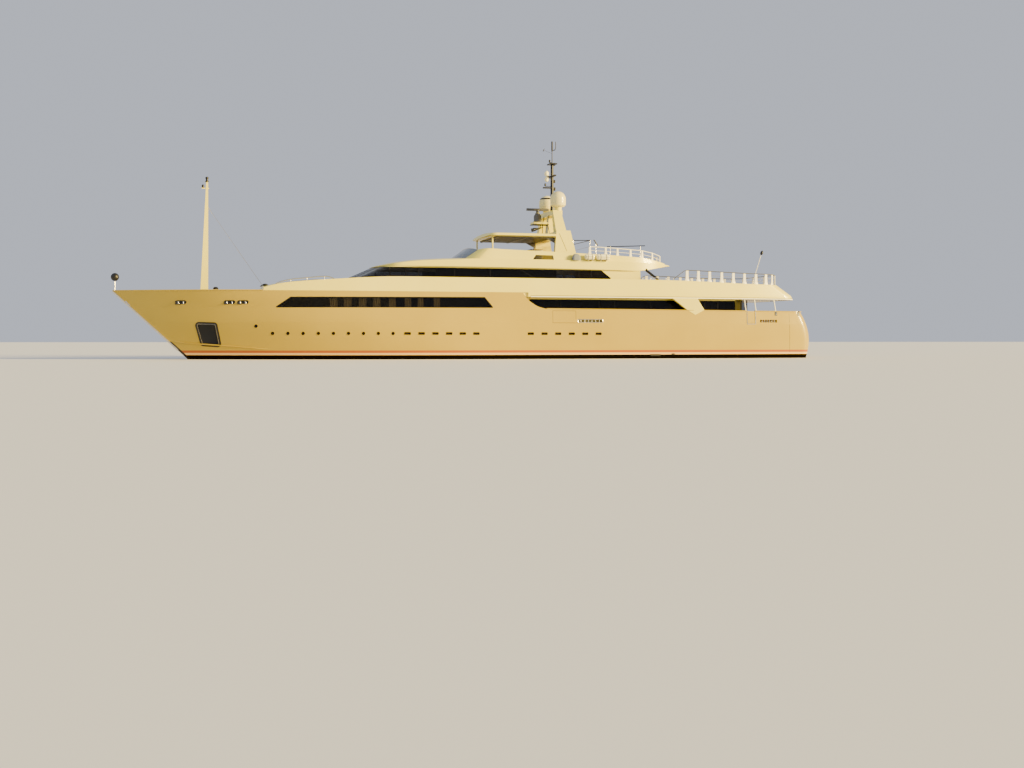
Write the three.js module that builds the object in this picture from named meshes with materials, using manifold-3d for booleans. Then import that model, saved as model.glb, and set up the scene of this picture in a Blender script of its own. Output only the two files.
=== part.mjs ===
// Motor yacht of 60 m, built at half size. Every size below is in metres of the full-size yacht:
// X forward from midships, Y to port, Z up from the waterline. addMesh brings them to the model's
// millimetres.
import * as THREE from 'three';
import { mergeVertices } from 'three/addons/utils/BufferGeometryUtils.js';
import Module from 'manifold-3d';

const wasm = await Module();
wasm.setup();

const MODEL_MM = 500;       // model millimetres for one full-size metre, 1:2
const GAP = 0.0008;         // 0.4 mm of the model between pieces that rest on each other
const CLEAR = 0.014;        // 7 mm of the model round a piece that moves

const yacht = new THREE.Group();

// Finishes, as seen in the photograph's evening light.
const FINISH = {
  topside: { color: 0xcfaa67, roughness: 0.3, metalness: 0 },
  cream: { color: 0xf0e191, roughness: 0.35, metalness: 0 },
  glass: { color: 0x0b0c0d, roughness: 0.08, metalness: 0 },
  tint: { color: 0x7f8c90, roughness: 0.1, metalness: 0 },
  teak: { color: 0xa9793f, roughness: 0.7, metalness: 0 },
  steel: { color: 0xd8d6cf, roughness: 0.25, metalness: 1 },
  white: { color: 0xf2efe2, roughness: 0.4, metalness: 0 },
  black: { color: 0x17140f, roughness: 0.5, metalness: 0 },
  bronze: { color: 0xb08443, roughness: 0.35, metalness: 1 },
  antifoul: { color: 0x1d150a, roughness: 0.7, metalness: 0 },
  cushion: { color: 0xcbbf9d, roughness: 0.9, metalness: 0 },
};

// Geometry to solid and back

function solid(geometry) {
  const bare = geometry.clone();
  bare.deleteAttribute('normal');
  bare.deleteAttribute('uv');
  const merged = mergeVertices(bare, 1e-6);
  return new wasm.Manifold(new wasm.Mesh({
    numProp: 3,
    vertProperties: merged.attributes.position.array,
    triVerts: Uint32Array.from(merged.index.array),
  }));
}

function addMesh(name, body, finish) {
  const out = body.getMesh();
  const geometry = new THREE.BufferGeometry();
  const metres = out.vertProperties;
  const millimetres = new Float32Array(metres.length);
  for (let i = 0; i < metres.length; i++) millimetres[i] = metres[i] * MODEL_MM;
  geometry.setAttribute('position', new THREE.BufferAttribute(millimetres, 3));
  geometry.setIndex(new THREE.BufferAttribute(out.triVerts, 1));
  geometry.computeVertexNormals();
  const mesh = new THREE.Mesh(geometry, new THREE.MeshStandardMaterial(FINISH[finish]));
  mesh.name = name;
  yacht.add(mesh);
}

// Shapes

const AXIS = {
  x: new THREE.Vector3(1, 0, 0),
  y: new THREE.Vector3(0, 1, 0),
  z: new THREE.Vector3(0, 0, 1),
};

// An outline of [a, b] points pushed from low to high along the axis that it faces.
function prism(points, low, high, across, up) {
  const shape = new THREE.Shape(points.map(([a, b]) => new THREE.Vector2(a, b)));
  const geometry = new THREE.ExtrudeGeometry(shape, { depth: high - low, bevelEnabled: false });
  const away = across.clone().cross(up);
  const forward = away.x + away.y + away.z > 0;
  geometry.translate(0, 0, forward ? low : -high);
  geometry.applyMatrix4(new THREE.Matrix4().makeBasis(across, up, away));
  return solid(geometry);
}

const sidePrism = (points, y0, y1) => prism(points, y0, y1, AXIS.x, AXIS.z);
const planPrism = (points, z0, z1) => prism(points, z0, z1, AXIS.x, AXIS.y);
const sectionPrism = (points, x0, x1) => prism(points, x0, x1, AXIS.y, AXIS.z);

function block(x0, x1, y0, y1, z0, z1) {
  const geometry = new THREE.BoxGeometry(x1 - x0, y1 - y0, z1 - z0);
  geometry.translate((x0 + x1) / 2, (y0 + y1) / 2, (z0 + z1) / 2);
  return solid(geometry);
}

// A box whose grid lines are moved onto a body's lines: place(i, j, k) is the point of one crossing.
function shaped(nx, ny, nz, place) {
  const geometry = new THREE.BoxGeometry(1, 1, 1, nx, ny, nz);
  const at = geometry.attributes.position;
  for (let n = 0; n < at.count; n++) {
    const i = Math.round((at.getX(n) + 0.5) * nx);
    const j = Math.round((at.getY(n) + 0.5) * ny);
    const k = Math.round((at.getZ(n) + 0.5) * nz);
    at.setXYZ(n, ...place(i, j, k));
  }
  return solid(geometry);
}

// A leg from a low rectangle to a high one, each as { x: [a, b], y: [a, b], z }.
function leg(low, high) {
  return shaped(1, 1, 1, (i, j, k) => {
    const end = k ? high : low;
    return [end.x[i], end.y[j], end.z];
  });
}

// A round bar between two points, tapering if the second radius is given.
function rod(from, to, radius, endRadius = radius, sides = 6) {
  const a = new THREE.Vector3(...from);
  const b = new THREE.Vector3(...to);
  const geometry = new THREE.CylinderGeometry(endRadius, radius, a.distanceTo(b), sides);
  const turn = new THREE.Quaternion().setFromUnitVectors(AXIS.y, b.clone().sub(a).normalize());
  geometry.applyQuaternion(turn);
  const middle = a.clone().add(b).multiplyScalar(0.5);
  geometry.translate(middle.x, middle.y, middle.z);
  return solid(geometry);
}

// A profile of [radius, z] turned about a vertical axis at x, y.
function turned(profile, x, y, segments) {
  const points = profile.map(([r, z]) => new THREE.Vector2(r, z));
  const geometry = new THREE.LatheGeometry(points, segments);
  geometry.rotateX(Math.PI / 2);
  geometry.translate(x, y, 0);
  return solid(geometry);
}

// What stands on a base starts a gap above the base's own surface.
const stoodOn = (base, body) => body.subtract(base).subtract(base.translate([0, 0, GAP]));
const join = (solids) => solids.reduce((all, one) => all.add(one));
const mirrored = (body) => body.mirror([0, 1, 0]);
const outline = (half) => [...half, ...half.slice().reverse().map(([x, y]) => [x, -y])];
const lerp = (a, b, t) => a + (b - a) * t;
const clamp01 = (t) => Math.min(1, Math.max(0, t));

// A value read off a short table of [x, value] rows whose x falls.
function along(table, x) {
  if (x >= table[0][0]) return table[0][1];
  for (let n = 1; n < table.length; n++) {
    const [x1, v1] = table[n];
    const [x0, v0] = table[n - 1];
    if (x >= x1) return lerp(v1, v0, (x - x1) / (x0 - x1));
  }
  return table[table.length - 1][1];
}

// Heights of the decks and lines
const DRAUGHT = 3.1;
const MAIN_DECK = 2.97;
const FORE_DECK = 4.25;
const SHEER = 5.5;
const UPPER_DECK_UNDER = 5.14;
const UPPER_DECK = 5.56;
const BRIDGE_HEAD = 7.62;
const SUN_DECK = 8.15;
const TEAK = 0.05;

// Hull lines: half-breadth at a place, from the stem and stern profiles.
const WALL = 0.14;
const QUARTER_RADIUS = 0.8;
const STEM_HALF = 0.05;
const TRANSOM_CAMBER = 0.12;

const stemX = (z) => 24.06 + 1.068 * z - (z < 0 ? 0.45 * z * z : 0);
const sternX = (z) => -29.44 + 0.13 * (z - 1.4) ** 2;

function halfBreadth(x, z, inset = 0) {
  const rise = clamp01(z / SHEER);
  const full = 5.1 + 0.15 * clamp01(z / 2);
  const shoulder = 8 * rise;
  const fineness = 1.9 + 0.8 * rise;
  const aftShoulder = -12;
  let half = full;
  if (x > shoulder) half = full * (1 - Math.min(1, (x - shoulder) / (stemX(z) - shoulder)) ** fineness);
  if (x < aftShoulder) half = full - 0.8 * ((aftShoulder - x) / 17.4) ** 2;
  const radius = QUARTER_RADIUS - inset;
  const off = Math.min(radius, Math.max(0, x - sternX(z) - inset));
  const round = radius - Math.sqrt(radius ** 2 - (radius - off) ** 2);
  return Math.max(half - inset - round, STEM_HALF);
}

// Stations as parts of the length, and levels: parts of the draught below, heights above.
const STATIONS = [
  0, 0.002, 0.006, 0.0138, 0.05, 0.1, 0.18, 0.28, 0.4, 0.5, 0.58, 0.65, 0.71, 0.77, 0.82, 0.87,
  0.91, 0.95, 0.98, 1,
];
const DEPTH_PARTS = [0.96, 0.87, 0.7, 0.45, 0.2];
const LEVELS = [0, 0.9, 2, 3, 4.1, SHEER];

function hullPoint(t, side, k) {
  const runEnd = 0.42;
  const depth = DRAUGHT - (t < runEnd ? 2.1 * ((runEnd - t) / runEnd) ** 1.5 : 0);
  const camber = side === 0 && t === 0 ? TRANSOM_CAMBER : 0;
  if (k >= DEPTH_PARTS.length) {
    const z = LEVELS[k - DEPTH_PARTS.length];
    const x = lerp(sternX(z), stemX(z), t);
    return [x - camber, side * halfBreadth(x, z), z];
  }
  const part = side === 0 && k === 0 ? 1 : DEPTH_PARTS[k];
  const x = lerp(sternX(-part), stemX(-DRAUGHT * part), t);
  const bilge = 1.3 + 1.7 * clamp01((22 - x) / 18);
  const floated = halfBreadth(lerp(sternX(0), stemX(0), t), 0);
  const half = Math.max(floated * (1 - part ** bilge), STEM_HALF);
  return [x - camber, side * half, -depth * part];
}

const hullOuter = shaped(
  STATIONS.length - 1, 2, DEPTH_PARTS.length + LEVELS.length - 1,
  (i, j, k) => hullPoint(STATIONS[i], j - 1, k),
);

// The space inside the bulwarks and cabin sides, from floor to top between two places.
const WELL_STATIONS = [0, 0.003, 0.01, 0.025, 0.08, 0.18, 0.3, 0.45, 0.58, 0.7, 0.8, 0.9, 1];
function well(floor, top, aft, fore, inset = WALL) {
  const levels = [floor, (floor + top) / 2, top];
  return shaped(WELL_STATIONS.length - 1, 2, 2, (i, j, k) => {
    const z = levels[k];
    const x = lerp(Math.max(aft, sternX(z) + inset), fore, WELL_STATIONS[i]);
    return [x, (j - 1) * halfBreadth(x, z, inset), z];
  });
}

const CABIN_FRONT = 17.9;
const BREAK_FRONT = 18.1;
const mainWell = well(MAIN_DECK, 5.7, -40, CABIN_FRONT);
const foreWell = well(FORE_DECK, 5.7, BREAK_FRONT, 29.1);

// What is laid inside a well is cut from the well itself, a hair narrower, so it follows its sides.
const FIT = 0.9998;
const LAID = 0.99;
const inWell = (space, fit, x0, x1, z0, z1) =>
  space.scale([1, fit, 1]).intersect(block(x0, x1, -7, 7, z0, z1));

// The topside steps down behind the full-beam cabin to the lower bulwark.
const ABOVE_BULWARK = [
  [-2.5, 7], [-2.63, 5.51], [-3.2, 4.8], [-3.9, 4.36], [-4.62, 4.16], [-28.53, 4.06], [-31, 4], [-31, 7],
];

const HULL_WINDOW = [[17.49, 4.14], [16.26, 5.0], [0.6, 5.09], [-0.16, 4.2]];
const ANCHOR_POCKET = [[23.4, 2.86], [21.98, 2.81], [21.62, 1.14], [22.94, 1.24]];
const FASHION_PLATE = [
  [-15.85, UPPER_DECK_UNDER - GAP], [-18.15, UPPER_DECK_UNDER - GAP], [-18.8, 4.15],
  [-17.97, 3.72], [-17.23, 4.14],
];
const POCKET_DEPTH = 1.0;     // where the pocket's flat back lies, off the centreline
const GATE = {
  aft: -23.68, fore: -22.93, sill: MAIN_DECK + TEAK + 0.01, top: 4.3, hingeGap: 0.04,
  pin: { x: -23.62, y: 4.775, radius: 0.02 },
};
const FREEING_SLOTS = [[-9.52, -7.4, 3.06, 3.28], [-25.83, -24.15, 3.1, 3.34]];
const FAIRLEADS = [24.62, 20.91, 19.89];
const FAIRLEAD_Z = 4.56;
const TRANSOM_DOOR = { half: 1.8, bottom: 0.76, top: 2.7, inner: -29.0 };
const GARAGE = { fore: -26.2, half: 2.1, floor: 0.6, head: 2.75 };
const THRUSTER = { x: 18.2, z: -1.45, radius: 0.42 };

// An outline with each of its edges moved in by a gap.
function drawnIn(points, gap) {
  const turn = Math.sign(THREE.ShapeUtils.area(points.map(([x, y]) => ({ x, y }))));
  return points.map(([x, y], n) => {
    const [xa, ya] = points[(n + points.length - 1) % points.length];
    const [xb, yb] = points[(n + 1) % points.length];
    const before = new THREE.Vector2(ya - y, x - xa).normalize().multiplyScalar(turn);
    const after = new THREE.Vector2(y - yb, xb - x).normalize().multiplyScalar(turn);
    const share = gap / (1 + before.dot(after));
    return [x + (before.x + after.x) * share, y + (before.y + after.y) * share];
  });
}

const gateCut = block(GATE.aft, GATE.fore, -6, 6, GATE.sill, GATE.top);
const doorCut = block(-31, TRANSOM_DOOR.inner, -TRANSOM_DOOR.half, TRANSOM_DOOR.half,
  TRANSOM_DOOR.bottom, TRANSOM_DOOR.top);
const bulwark = hullOuter.subtract(mainWell).subtract(sidePrism(ABOVE_BULWARK, -7, 7));

// Shafts, rudders and fins, port side; the starboard ones are mirrored.
const SHAFT = { radius: 0.11, y: 2.2, z: -2.42, aft: -24.35, fore: -10.6 };
const RUDDER = { x: -26.75, y: 2.2, top: -1.3, bottom: -3.15, stock: 0.12, head: -0.75 };
const FIN = { x: -1.6, root: [3.86, -2.0], tip: [4.86, -3.0], stock: 0.12 };

// A bore in which a round piece of a radius turns freely: many sides, so its flats clear the piece.
const BORE_SIDES = 32;
const bored = (from, to, radius) => {
  const wide = (radius + GAP) / Math.cos(Math.PI / BORE_SIDES);
  return rod(from, to, wide, wide, BORE_SIDES);
};

let hull = bulwark.subtract(foreWell);
hull = hull.subtract(gateCut).subtract(doorCut);
hull = hull.subtract(block(-29.05, GARAGE.fore, -GARAGE.half, GARAGE.half, GARAGE.floor, GARAGE.head));
hull = hull.subtract(rod([THRUSTER.x, -4, THRUSTER.z], [THRUSTER.x, 4, THRUSTER.z], THRUSTER.radius,
  THRUSTER.radius, 16));
for (const side of [1, -1]) {
  const across = (a, b) => (side > 0 ? [a, b] : [-b, -a]);
  hull = hull.subtract(sidePrism(HULL_WINDOW, ...across(3, 7)));
  hull = hull.subtract(sidePrism(FASHION_PLATE, ...across(4, 7)));
  hull = hull.subtract(sidePrism(ANCHOR_POCKET, ...across(POCKET_DEPTH, 4)));
  for (const [aft, fore, low, high] of FREEING_SLOTS) {
    hull = hull.subtract(block(aft, fore, ...across(4, 6), low, high));
  }
  for (const x of FAIRLEADS) {
    hull = hull.subtract(rod([x, side * 0.6, FAIRLEAD_Z], [x, side * 6, FAIRLEAD_Z], 0.14, 0.14, 8));
  }
  const bore = bored([SHAFT.aft, side * SHAFT.y, SHAFT.z], [SHAFT.fore + 0.1, side * SHAFT.y, SHAFT.z],
    SHAFT.radius);
  const stockBore = bored([RUDDER.x, side * RUDDER.y, -2], [RUDDER.x, side * RUDDER.y, RUDDER.head + 0.02],
    RUDDER.stock);
  const finBore = bored([FIN.x, side * (FIN.root[0] - 0.7), FIN.root[1] + 0.7],
    [FIN.x, side * (FIN.root[0] + 0.4), FIN.root[1] - 0.4], FIN.stock);
  const pinBore = bored([GATE.pin.x, side * GATE.pin.y, GATE.sill - 0.07],
    [GATE.pin.x, side * GATE.pin.y, GATE.sill + 0.1], GATE.pin.radius);
  hull = hull.subtract(bore).subtract(stockBore).subtract(finBore).subtract(pinBore);
}
addMesh('hull', hull, 'topside');

// Hull glass and gates: slices of the hull's own side, so they follow its curve.
const glassSkin = hullOuter.scale([1, 0.994, 1]).subtract(hullOuter.scale([1, 0.984, 1]));
const paneShape = sidePrism(drawnIn(HULL_WINDOW, GAP), 2, 7);
const hullGlass = glassSkin.intersect(paneShape);
const pinAt = (rise) => [GATE.pin.x, GATE.pin.y, GATE.sill + rise];
const gateLeaf = bulwark.intersect(
  block(GATE.aft + GATE.hingeGap, GATE.fore - CLEAR, 3, 7, GATE.sill + CLEAR, GATE.top),
).add(rod(pinAt(-0.06), pinAt(0.1), GATE.pin.radius, GATE.pin.radius, 12));
const plate = hullOuter.scale([1, 1.004, 1]).add(block(-20, -14, -5.2, 5.2, 3, UPPER_DECK_UNDER))
  .intersect(sidePrism(drawnIn(FASHION_PLATE, GAP), 4.86, 7));
for (const [name, body, finish] of [
  ['hull_window', hullGlass, 'glass'], ['boarding_gate', gateLeaf, 'topside'],
  ['fashion_plate', plate, 'cream'],
]) {
  addMesh(`${name}_port`, body, finish);
  addMesh(`${name}_starboard`, mirrored(body), finish);
}
addMesh('transom_door', hullOuter.intersect(block(-31, TRANSOM_DOOR.inner - 0.02,
  -TRANSOM_DOOR.half + CLEAR, TRANSOM_DOOR.half - CLEAR, TRANSOM_DOOR.bottom + GAP,
  TRANSOM_DOOR.top - CLEAR)), 'topside');

// Saloon house on the main deck: walls with a long band of glass each side and doors aft.
const SALOON = { aft: -22.85, fore: -2.75, half: 4.05, wall: 0.12, foot: MAIN_DECK + GAP };
const SALOON_HEAD = UPPER_DECK_UNDER - GAP;
const SALOON_BAND = { aft: -22.2, fore: -3.5, low: 3.35, high: 4.98 };
const SALOON_DOOR = { half: 1.7, head: 5.0, thick: 0.06 };
const saloonBulkhead = inWell(mainWell, FIT, SALOON.fore - SALOON.wall, SALOON.fore, SALOON.foot,
  SALOON_HEAD);
const saloonRoom = block(SALOON.aft + SALOON.wall, 0, -SALOON.half + SALOON.wall,
  SALOON.half - SALOON.wall, 2, 6);
const saloonHouse = block(SALOON.aft, SALOON.fore, -SALOON.half, SALOON.half, SALOON.foot, SALOON_HEAD)
  .add(saloonBulkhead)
  .subtract(saloonRoom)
  .subtract(block(SALOON_BAND.aft, SALOON_BAND.fore, -5, 5, SALOON_BAND.low, SALOON_BAND.high))
  .subtract(block(SALOON.aft - 1, SALOON.aft + 1, -SALOON_DOOR.half, SALOON_DOOR.half,
    SALOON.foot + 0.09, SALOON_DOOR.head));
addMesh('saloon_house', saloonHouse, 'cream');
for (const [name, side] of [['port', 1], ['starboard', -1]]) {
  const y = side * (SALOON.half - 0.06);
  addMesh(`saloon_window_${name}`, block(SALOON_BAND.aft + GAP, SALOON_BAND.fore - GAP, y - 0.03, y + 0.03,
    SALOON_BAND.low + GAP, SALOON_BAND.high - GAP), 'glass');
  const inner = side > 0 ? [CLEAR / 2, SALOON_DOOR.half + 0.1] : [-SALOON_DOOR.half - 0.1, -CLEAR / 2];
  addMesh(`saloon_door_${name}`, block(SALOON.aft - SALOON_DOOR.thick - CLEAR, SALOON.aft - CLEAR,
    ...inner, SALOON.foot + TEAK, SALOON_DOOR.head + 0.06), 'glass');
}

// Upper deck: a plate let in between the cabin sides forward, the bulwark round it, and the overhang.
const UPPER = { fore: 18.34, plateFore: 17.85, boundary: -3.1, wall: 0.26, endRadius: 1.3 };
const upperAft = (z) => -28.08 + Math.max(0, z - 5.4) * 1.55;
const UPPER_TOP = [
  [18.34, 5.72], [17.6, 5.98], [16.4, 6.27], [14.4, 6.53], [12.4, 6.66], [11.3, 6.69],
  [-14.84, 6.69], [-18.51, 6.61], [-23.25, 6.45], [-26.53, 6.4],
];
function upperHalf(x, z, inset = 0) {
  let half = halfBreadth(x, SHEER) - 0.08 * Math.max(0, z - SHEER);
  if (x < -8) half = 5.25 - 0.9 * ((-8 - x) / 19) ** 2 - 0.08 * Math.max(0, z - SHEER);
  const radius = UPPER.endRadius - inset;
  const off = Math.min(radius, Math.max(0, x - upperAft(z) - inset));
  return half - inset - radius + Math.sqrt(radius ** 2 - (radius - off) ** 2);
}
const UPPER_X = [-22.5, -18.51, -14.84, -8, -2, 4, 8, 11.3, 12.9, 14.4, 16.4, 17.6, 18.34];
const AFT_ROUND = [0, 0.06, 0.25, 0.6, 1];

// The upper deck's space from a floor to a top: the top's height follows x, and its raked aft end is
// the one that belongs to the height that reaches there.
function upperSpace(floor, top, reach, fore, inset) {
  const xs = UPPER_X.filter((x) => x < fore - 0.1).concat(fore);
  return shaped(AFT_ROUND.length + xs.length - 1, 2, 1, (i, j, k) => {
    const z = k ? reach : floor;
    const start = upperAft(z) + inset;
    const x = i < AFT_ROUND.length ? start + AFT_ROUND[i] * UPPER.endRadius : xs[i - AFT_ROUND.length];
    return [x, (j - 1) * upperHalf(x, z, inset), k ? top(x) : floor];
  });
}
const deckEdge = inWell(mainWell, FIT, UPPER.boundary, UPPER.plateFore, UPPER_DECK_UNDER, UPPER_DECK);
const upperBody = upperSpace(UPPER_DECK_UNDER, (x) => along(UPPER_TOP, x), 6.4, UPPER.fore, 0);
const upperWell = upperSpace(UPPER_DECK, () => 6.75, 6.75, UPPER.fore + 1, UPPER.wall);
const overTopsides = block(UPPER.boundary, 20, -7, 7, UPPER_DECK_UNDER - 1, SHEER + GAP);
const upperDeck = upperBody.subtract(overTopsides).subtract(upperWell).add(deckEdge);
addMesh('upper_deck', upperDeck, 'cream');

// Coachroof ahead of the wheelhouse: [x, height on the centreline].
const COACH = [[18.2, 5.98], [17.5, 6.14], [16.45, 6.34], [14.4, 6.57], [12.6, 6.7], [11.6, 6.78]];
const COACH_SIDE_DECK = 0.75;
const coachroofWhole = shaped(COACH.length - 1, 6, 1, (i, j, k) => {
  const [x, top] = COACH[COACH.length - 1 - i];
  const across = (j - 3) / 3;
  const half = halfBreadth(x, SHEER) - UPPER.wall - COACH_SIDE_DECK;
  return [x, across * half, k ? top - 0.3 * across ** 2 : UPPER_DECK + GAP];
});

// Bridge house: the wheelhouse front is steeply raked and round at its corners.
const BRIDGE = { aft: -13.4, wall: 0.12, foot: UPPER_DECK + GAP, head: BRIDGE_HEAD - GAP, radius: 1.5 };
const BRIDGE_FRONT = [[5.5, 11.55], [6.35, 11.5], [7.7, 8.5]];      // [z, x of the front]
const bridgeFront = (z) => along(BRIDGE_FRONT.slice().reverse(), z);
const bridgeHalf = (z) => 4.12 - 0.07 * (z - UPPER_DECK);
const CORNER = [0, 0.35, 0.65, 0.88, 1];
function bridgeBody(inset, low, high, aft) {
  const heights = [low, ...[6.35].filter((z) => z > low && z < high), high];
  const rows = CORNER.length + 1;
  return shaped(rows - 1, 8, heights.length - 1, (i, j, k) => {
    const z = heights[k];
    const front = bridgeFront(z) - inset;
    const half = bridgeHalf(z) - inset;
    const start = front - BRIDGE.radius;
    const across = (j - 4) / 4;
    if (i === 0) return [aft, across * half, z];
    const part = CORNER[i - 1];
    const edge = half - (1 - Math.sqrt(1 - part ** 2)) * BRIDGE.radius;
    const bow = 0.5 * part * (1 - across ** 2);
    return [start + part * BRIDGE.radius + bow, across * edge, z];
  });
}
const coachroof = coachroofWhole.subtract(bridgeBody(-0.01, BRIDGE.foot, BRIDGE.head, BRIDGE.aft));
addMesh('coachroof', coachroof, 'cream');
const BRIDGE_BAND = { low: 6.3, high: 7.56, aftLow: -9.9, aftHigh: -9.2 };
const bandSide = [
  [14, BRIDGE_BAND.low], [14, BRIDGE_BAND.high], [BRIDGE_BAND.aftHigh, BRIDGE_BAND.high - 0.08],
  [-10.58, 6.82], [BRIDGE_BAND.aftLow, BRIDGE_BAND.low],
];
const LOUNGE_DOOR = { half: 1.6, head: 7.38, thick: 0.06 };
const bandCut = sidePrism(bandSide, -6, 6);
const bridgeHouse = bridgeBody(0, BRIDGE.foot, BRIDGE.head, BRIDGE.aft)
  .subtract(bridgeBody(BRIDGE.wall, 5, 8, BRIDGE.aft + BRIDGE.wall))
  .subtract(bandCut)
  .subtract(block(-14, -13, -LOUNGE_DOOR.half, LOUNGE_DOOR.half, BRIDGE.foot + 0.09, LOUNGE_DOOR.head));
const bridgeGlass = bridgeBody(0.03, 6, 7.8, -13.3).subtract(bridgeBody(0.09, 5.9, 7.9, -13.35))
  .intersect(sidePrism(drawnIn(bandSide, GAP), -6, 6));
addMesh('bridge_glass', bridgeGlass, 'glass');

for (const [name, side] of [['port', 1], ['starboard', -1]]) {
  const inner = side > 0 ? [CLEAR / 2, LOUNGE_DOOR.half + 0.1] : [-LOUNGE_DOOR.half - 0.1, -CLEAR / 2];
  addMesh(`lounge_door_${name}`, block(BRIDGE.aft - LOUNGE_DOOR.thick - CLEAR, BRIDGE.aft - CLEAR,
    ...inner, BRIDGE.foot + TEAK, LOUNGE_DOOR.head + 0.03), 'glass');
}

// Sun deck: the roof of the bridge house, its aft overhang, and the coaming round the open deck.
// ROOF rows: [x, underside, height on the centreline, height at the side, half-breadth].
const ROOF = [
  [9.24, 7.62, 7.64, 7.64, 0.6], [9.12, 7.62, 7.69, 7.67, 1.4], [8.95, 7.62, 7.74, 7.69, 2.05],
  [8.62, 7.62, 7.83, 7.72, 2.95], [8.2, 7.62, 7.93, 7.77, 3.6], [7.5, 7.62, 8.08, 7.86, 3.98],
  [6.2, 7.62, 8.26, 8.02, 4.12], [4.5, 7.62, 8.4, 8.13, 4.2], [2.6, 7.62, 8.5, 8.2, 4.25],
  [0.7, 7.62, 8.5, 8.3, 4.25], [-5, 7.58, 8.4, 8.3, 4.25], [-10.6, 7.52, 8.3, 8.25, 4.2],
  [-13.3, 7.5, 8.25, 8.2, 4.05], [-15.3, 7.8, 8.16, 8.16, 3.4], [-16.4, 8.0, 8.12, 8.12, 2.5],
  [-17.0, 8.05, 8.1, 8.1, 1.7],
];
const roofPoint = (row, across, top) => {
  const [x, under, crown, edge, half] = row;
  return [x, across * half, top ? lerp(crown, edge, across ** 2) : under];
};
const roof = shaped(ROOF.length - 1, 6, 1, (i, j, k) => roofPoint(ROOF[ROOF.length - 1 - i], (j - 3) / 3, k));

addMesh('bridge_house', bridgeHouse.subtract(roof).subtract(roof.translate([0, 0, -GAP])), 'cream');

// Its front leans aft: the coaming wraps round the corners as far as the windscreen.
const COAMING = { wall: 0.14, lean: 0.16, rake: 1.45, glassSide: 3.12 };
const COAMING_TOP = [
  [2.5, 9.12], [1.2, 9.2], [-4.45, 9.03], [-10.65, 8.81], [-13.9, 8.62], [-15.44, 8.36], [-16.5, 8.2],
];
const COAMING_HALF = [
  [2.78, 0.9], [2.55, 2.1], [2.1, 3.1], [1.75, 3.55], [1.2, 3.9], [0.5, 4.05], [-2, 4.07], [-5, 4.08],
  [-8, 4.05], [-10.6, 4.0], [-13.3, 3.82], [-15.3, 3.15], [-16.3, 2.3],
];
const COAMING_X = COAMING_HALF.map(([x]) => x);
const SLOT_WINDOW = [[-5.68, 8.26], [-5.6, 8.68], [-4.1, 8.7], [-3.78, 8.26]];
const frontRake = (x, z) => (z - SUN_DECK) * COAMING.rake * clamp01((x + 1.5) / 3.6);
function coamingBody(inset, low, high) {
  return shaped(COAMING_X.length - 1, 2, 1, (i, j, k) => {
    const row = COAMING_X.length - 1 - i;
    const x = COAMING_X[row];
    const z = k ? high(x) : low;
    const ends = row === 0 ? -inset : row === COAMING_X.length - 1 ? inset : 0;
    const half = along(COAMING_HALF, x) - COAMING.lean * (z - SUN_DECK) - inset;
    return [x + ends - frontRake(x, z), (j - 1) * half, z];
  });
}
const glassGap = block(-0.5, 4, -COAMING.glassSide, COAMING.glassSide, 7, 10);
const insideCoaming = (margin) => coamingBody(COAMING.wall + margin, 7.9, () => 9.6);
const coamingRing = coamingBody(0, 8.0, (x) => along(COAMING_TOP, x))
  .subtract(insideCoaming(0))
  .subtract(glassGap)
  .subtract(sidePrism(SLOT_WINDOW, -6, 6));
const sunWell = insideCoaming(0).intersect(block(-17, 3, -5, 5, SUN_DECK, 10));
const sunDeck = roof.subtract(sunWell).add(coamingRing);
addMesh('sun_deck', sunDeck, 'cream');

// The tinted windscreen stands on the roof between the coaming's two ends and leans aft with them.
const SCREEN = { side: 9.1, crown: 9.38, thick: 0.06 };
const screenPath = outline([[2.1, 3.1], [2.55, 2.1], [2.78, 0.9]]);
const screen = shaped(screenPath.length - 1, 1, 1, (i, j, k) => {
  const [x, y] = screenPath[i];
  const z = k ? lerp(SCREEN.crown, SCREEN.side, (y / COAMING.glassSide) ** 2) : 8.0;
  return [x - frontRake(x, z) - (j ? SCREEN.thick : 0), -y, z];
}).subtract(roof).subtract(roof.translate([0, 0, GAP * 2]));
addMesh('sun_deck_windscreen', screen, 'tint');

// Hardtop over the sun deck, carried by two front posts and the mast arch behind it.
const HARDTOP = { under: 10.27, top: 10.55, crown: 0.12 };
const HARDTOP_ROWS = [[-0.45, 2.9], [-0.62, 3.22], [-0.95, 3.35], [-3.5, 3.36], [-6.05, 3.35]];
const hardtopPlate = shaped(HARDTOP_ROWS.length - 1, 4, 2, (i, j, k) => {
  const [x, half] = HARDTOP_ROWS[HARDTOP_ROWS.length - 1 - i];
  const across = (j - 2) / 2;
  const tuck = k === 1 ? 0.16 : 0;
  const z = [HARDTOP.under, 10.36, HARDTOP.top + HARDTOP.crown * (1 - across ** 2)][k];
  const front = i === HARDTOP_ROWS.length - 1 ? tuck : 0;
  return [x + front, across * (half + tuck), z];
});
const POST = { x: -0.66, y: 2.8, radius: 0.07 };
const posts = [1, -1].map((side) => rod(
  [POST.x, side * POST.y, SUN_DECK - 0.02], [POST.x, side * POST.y, HARDTOP.under + 0.05], POST.radius,
  POST.radius, 10,
));
addMesh('hardtop', stoodOn(sunDeck, join([hardtopPlate, ...posts])), 'cream');

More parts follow.
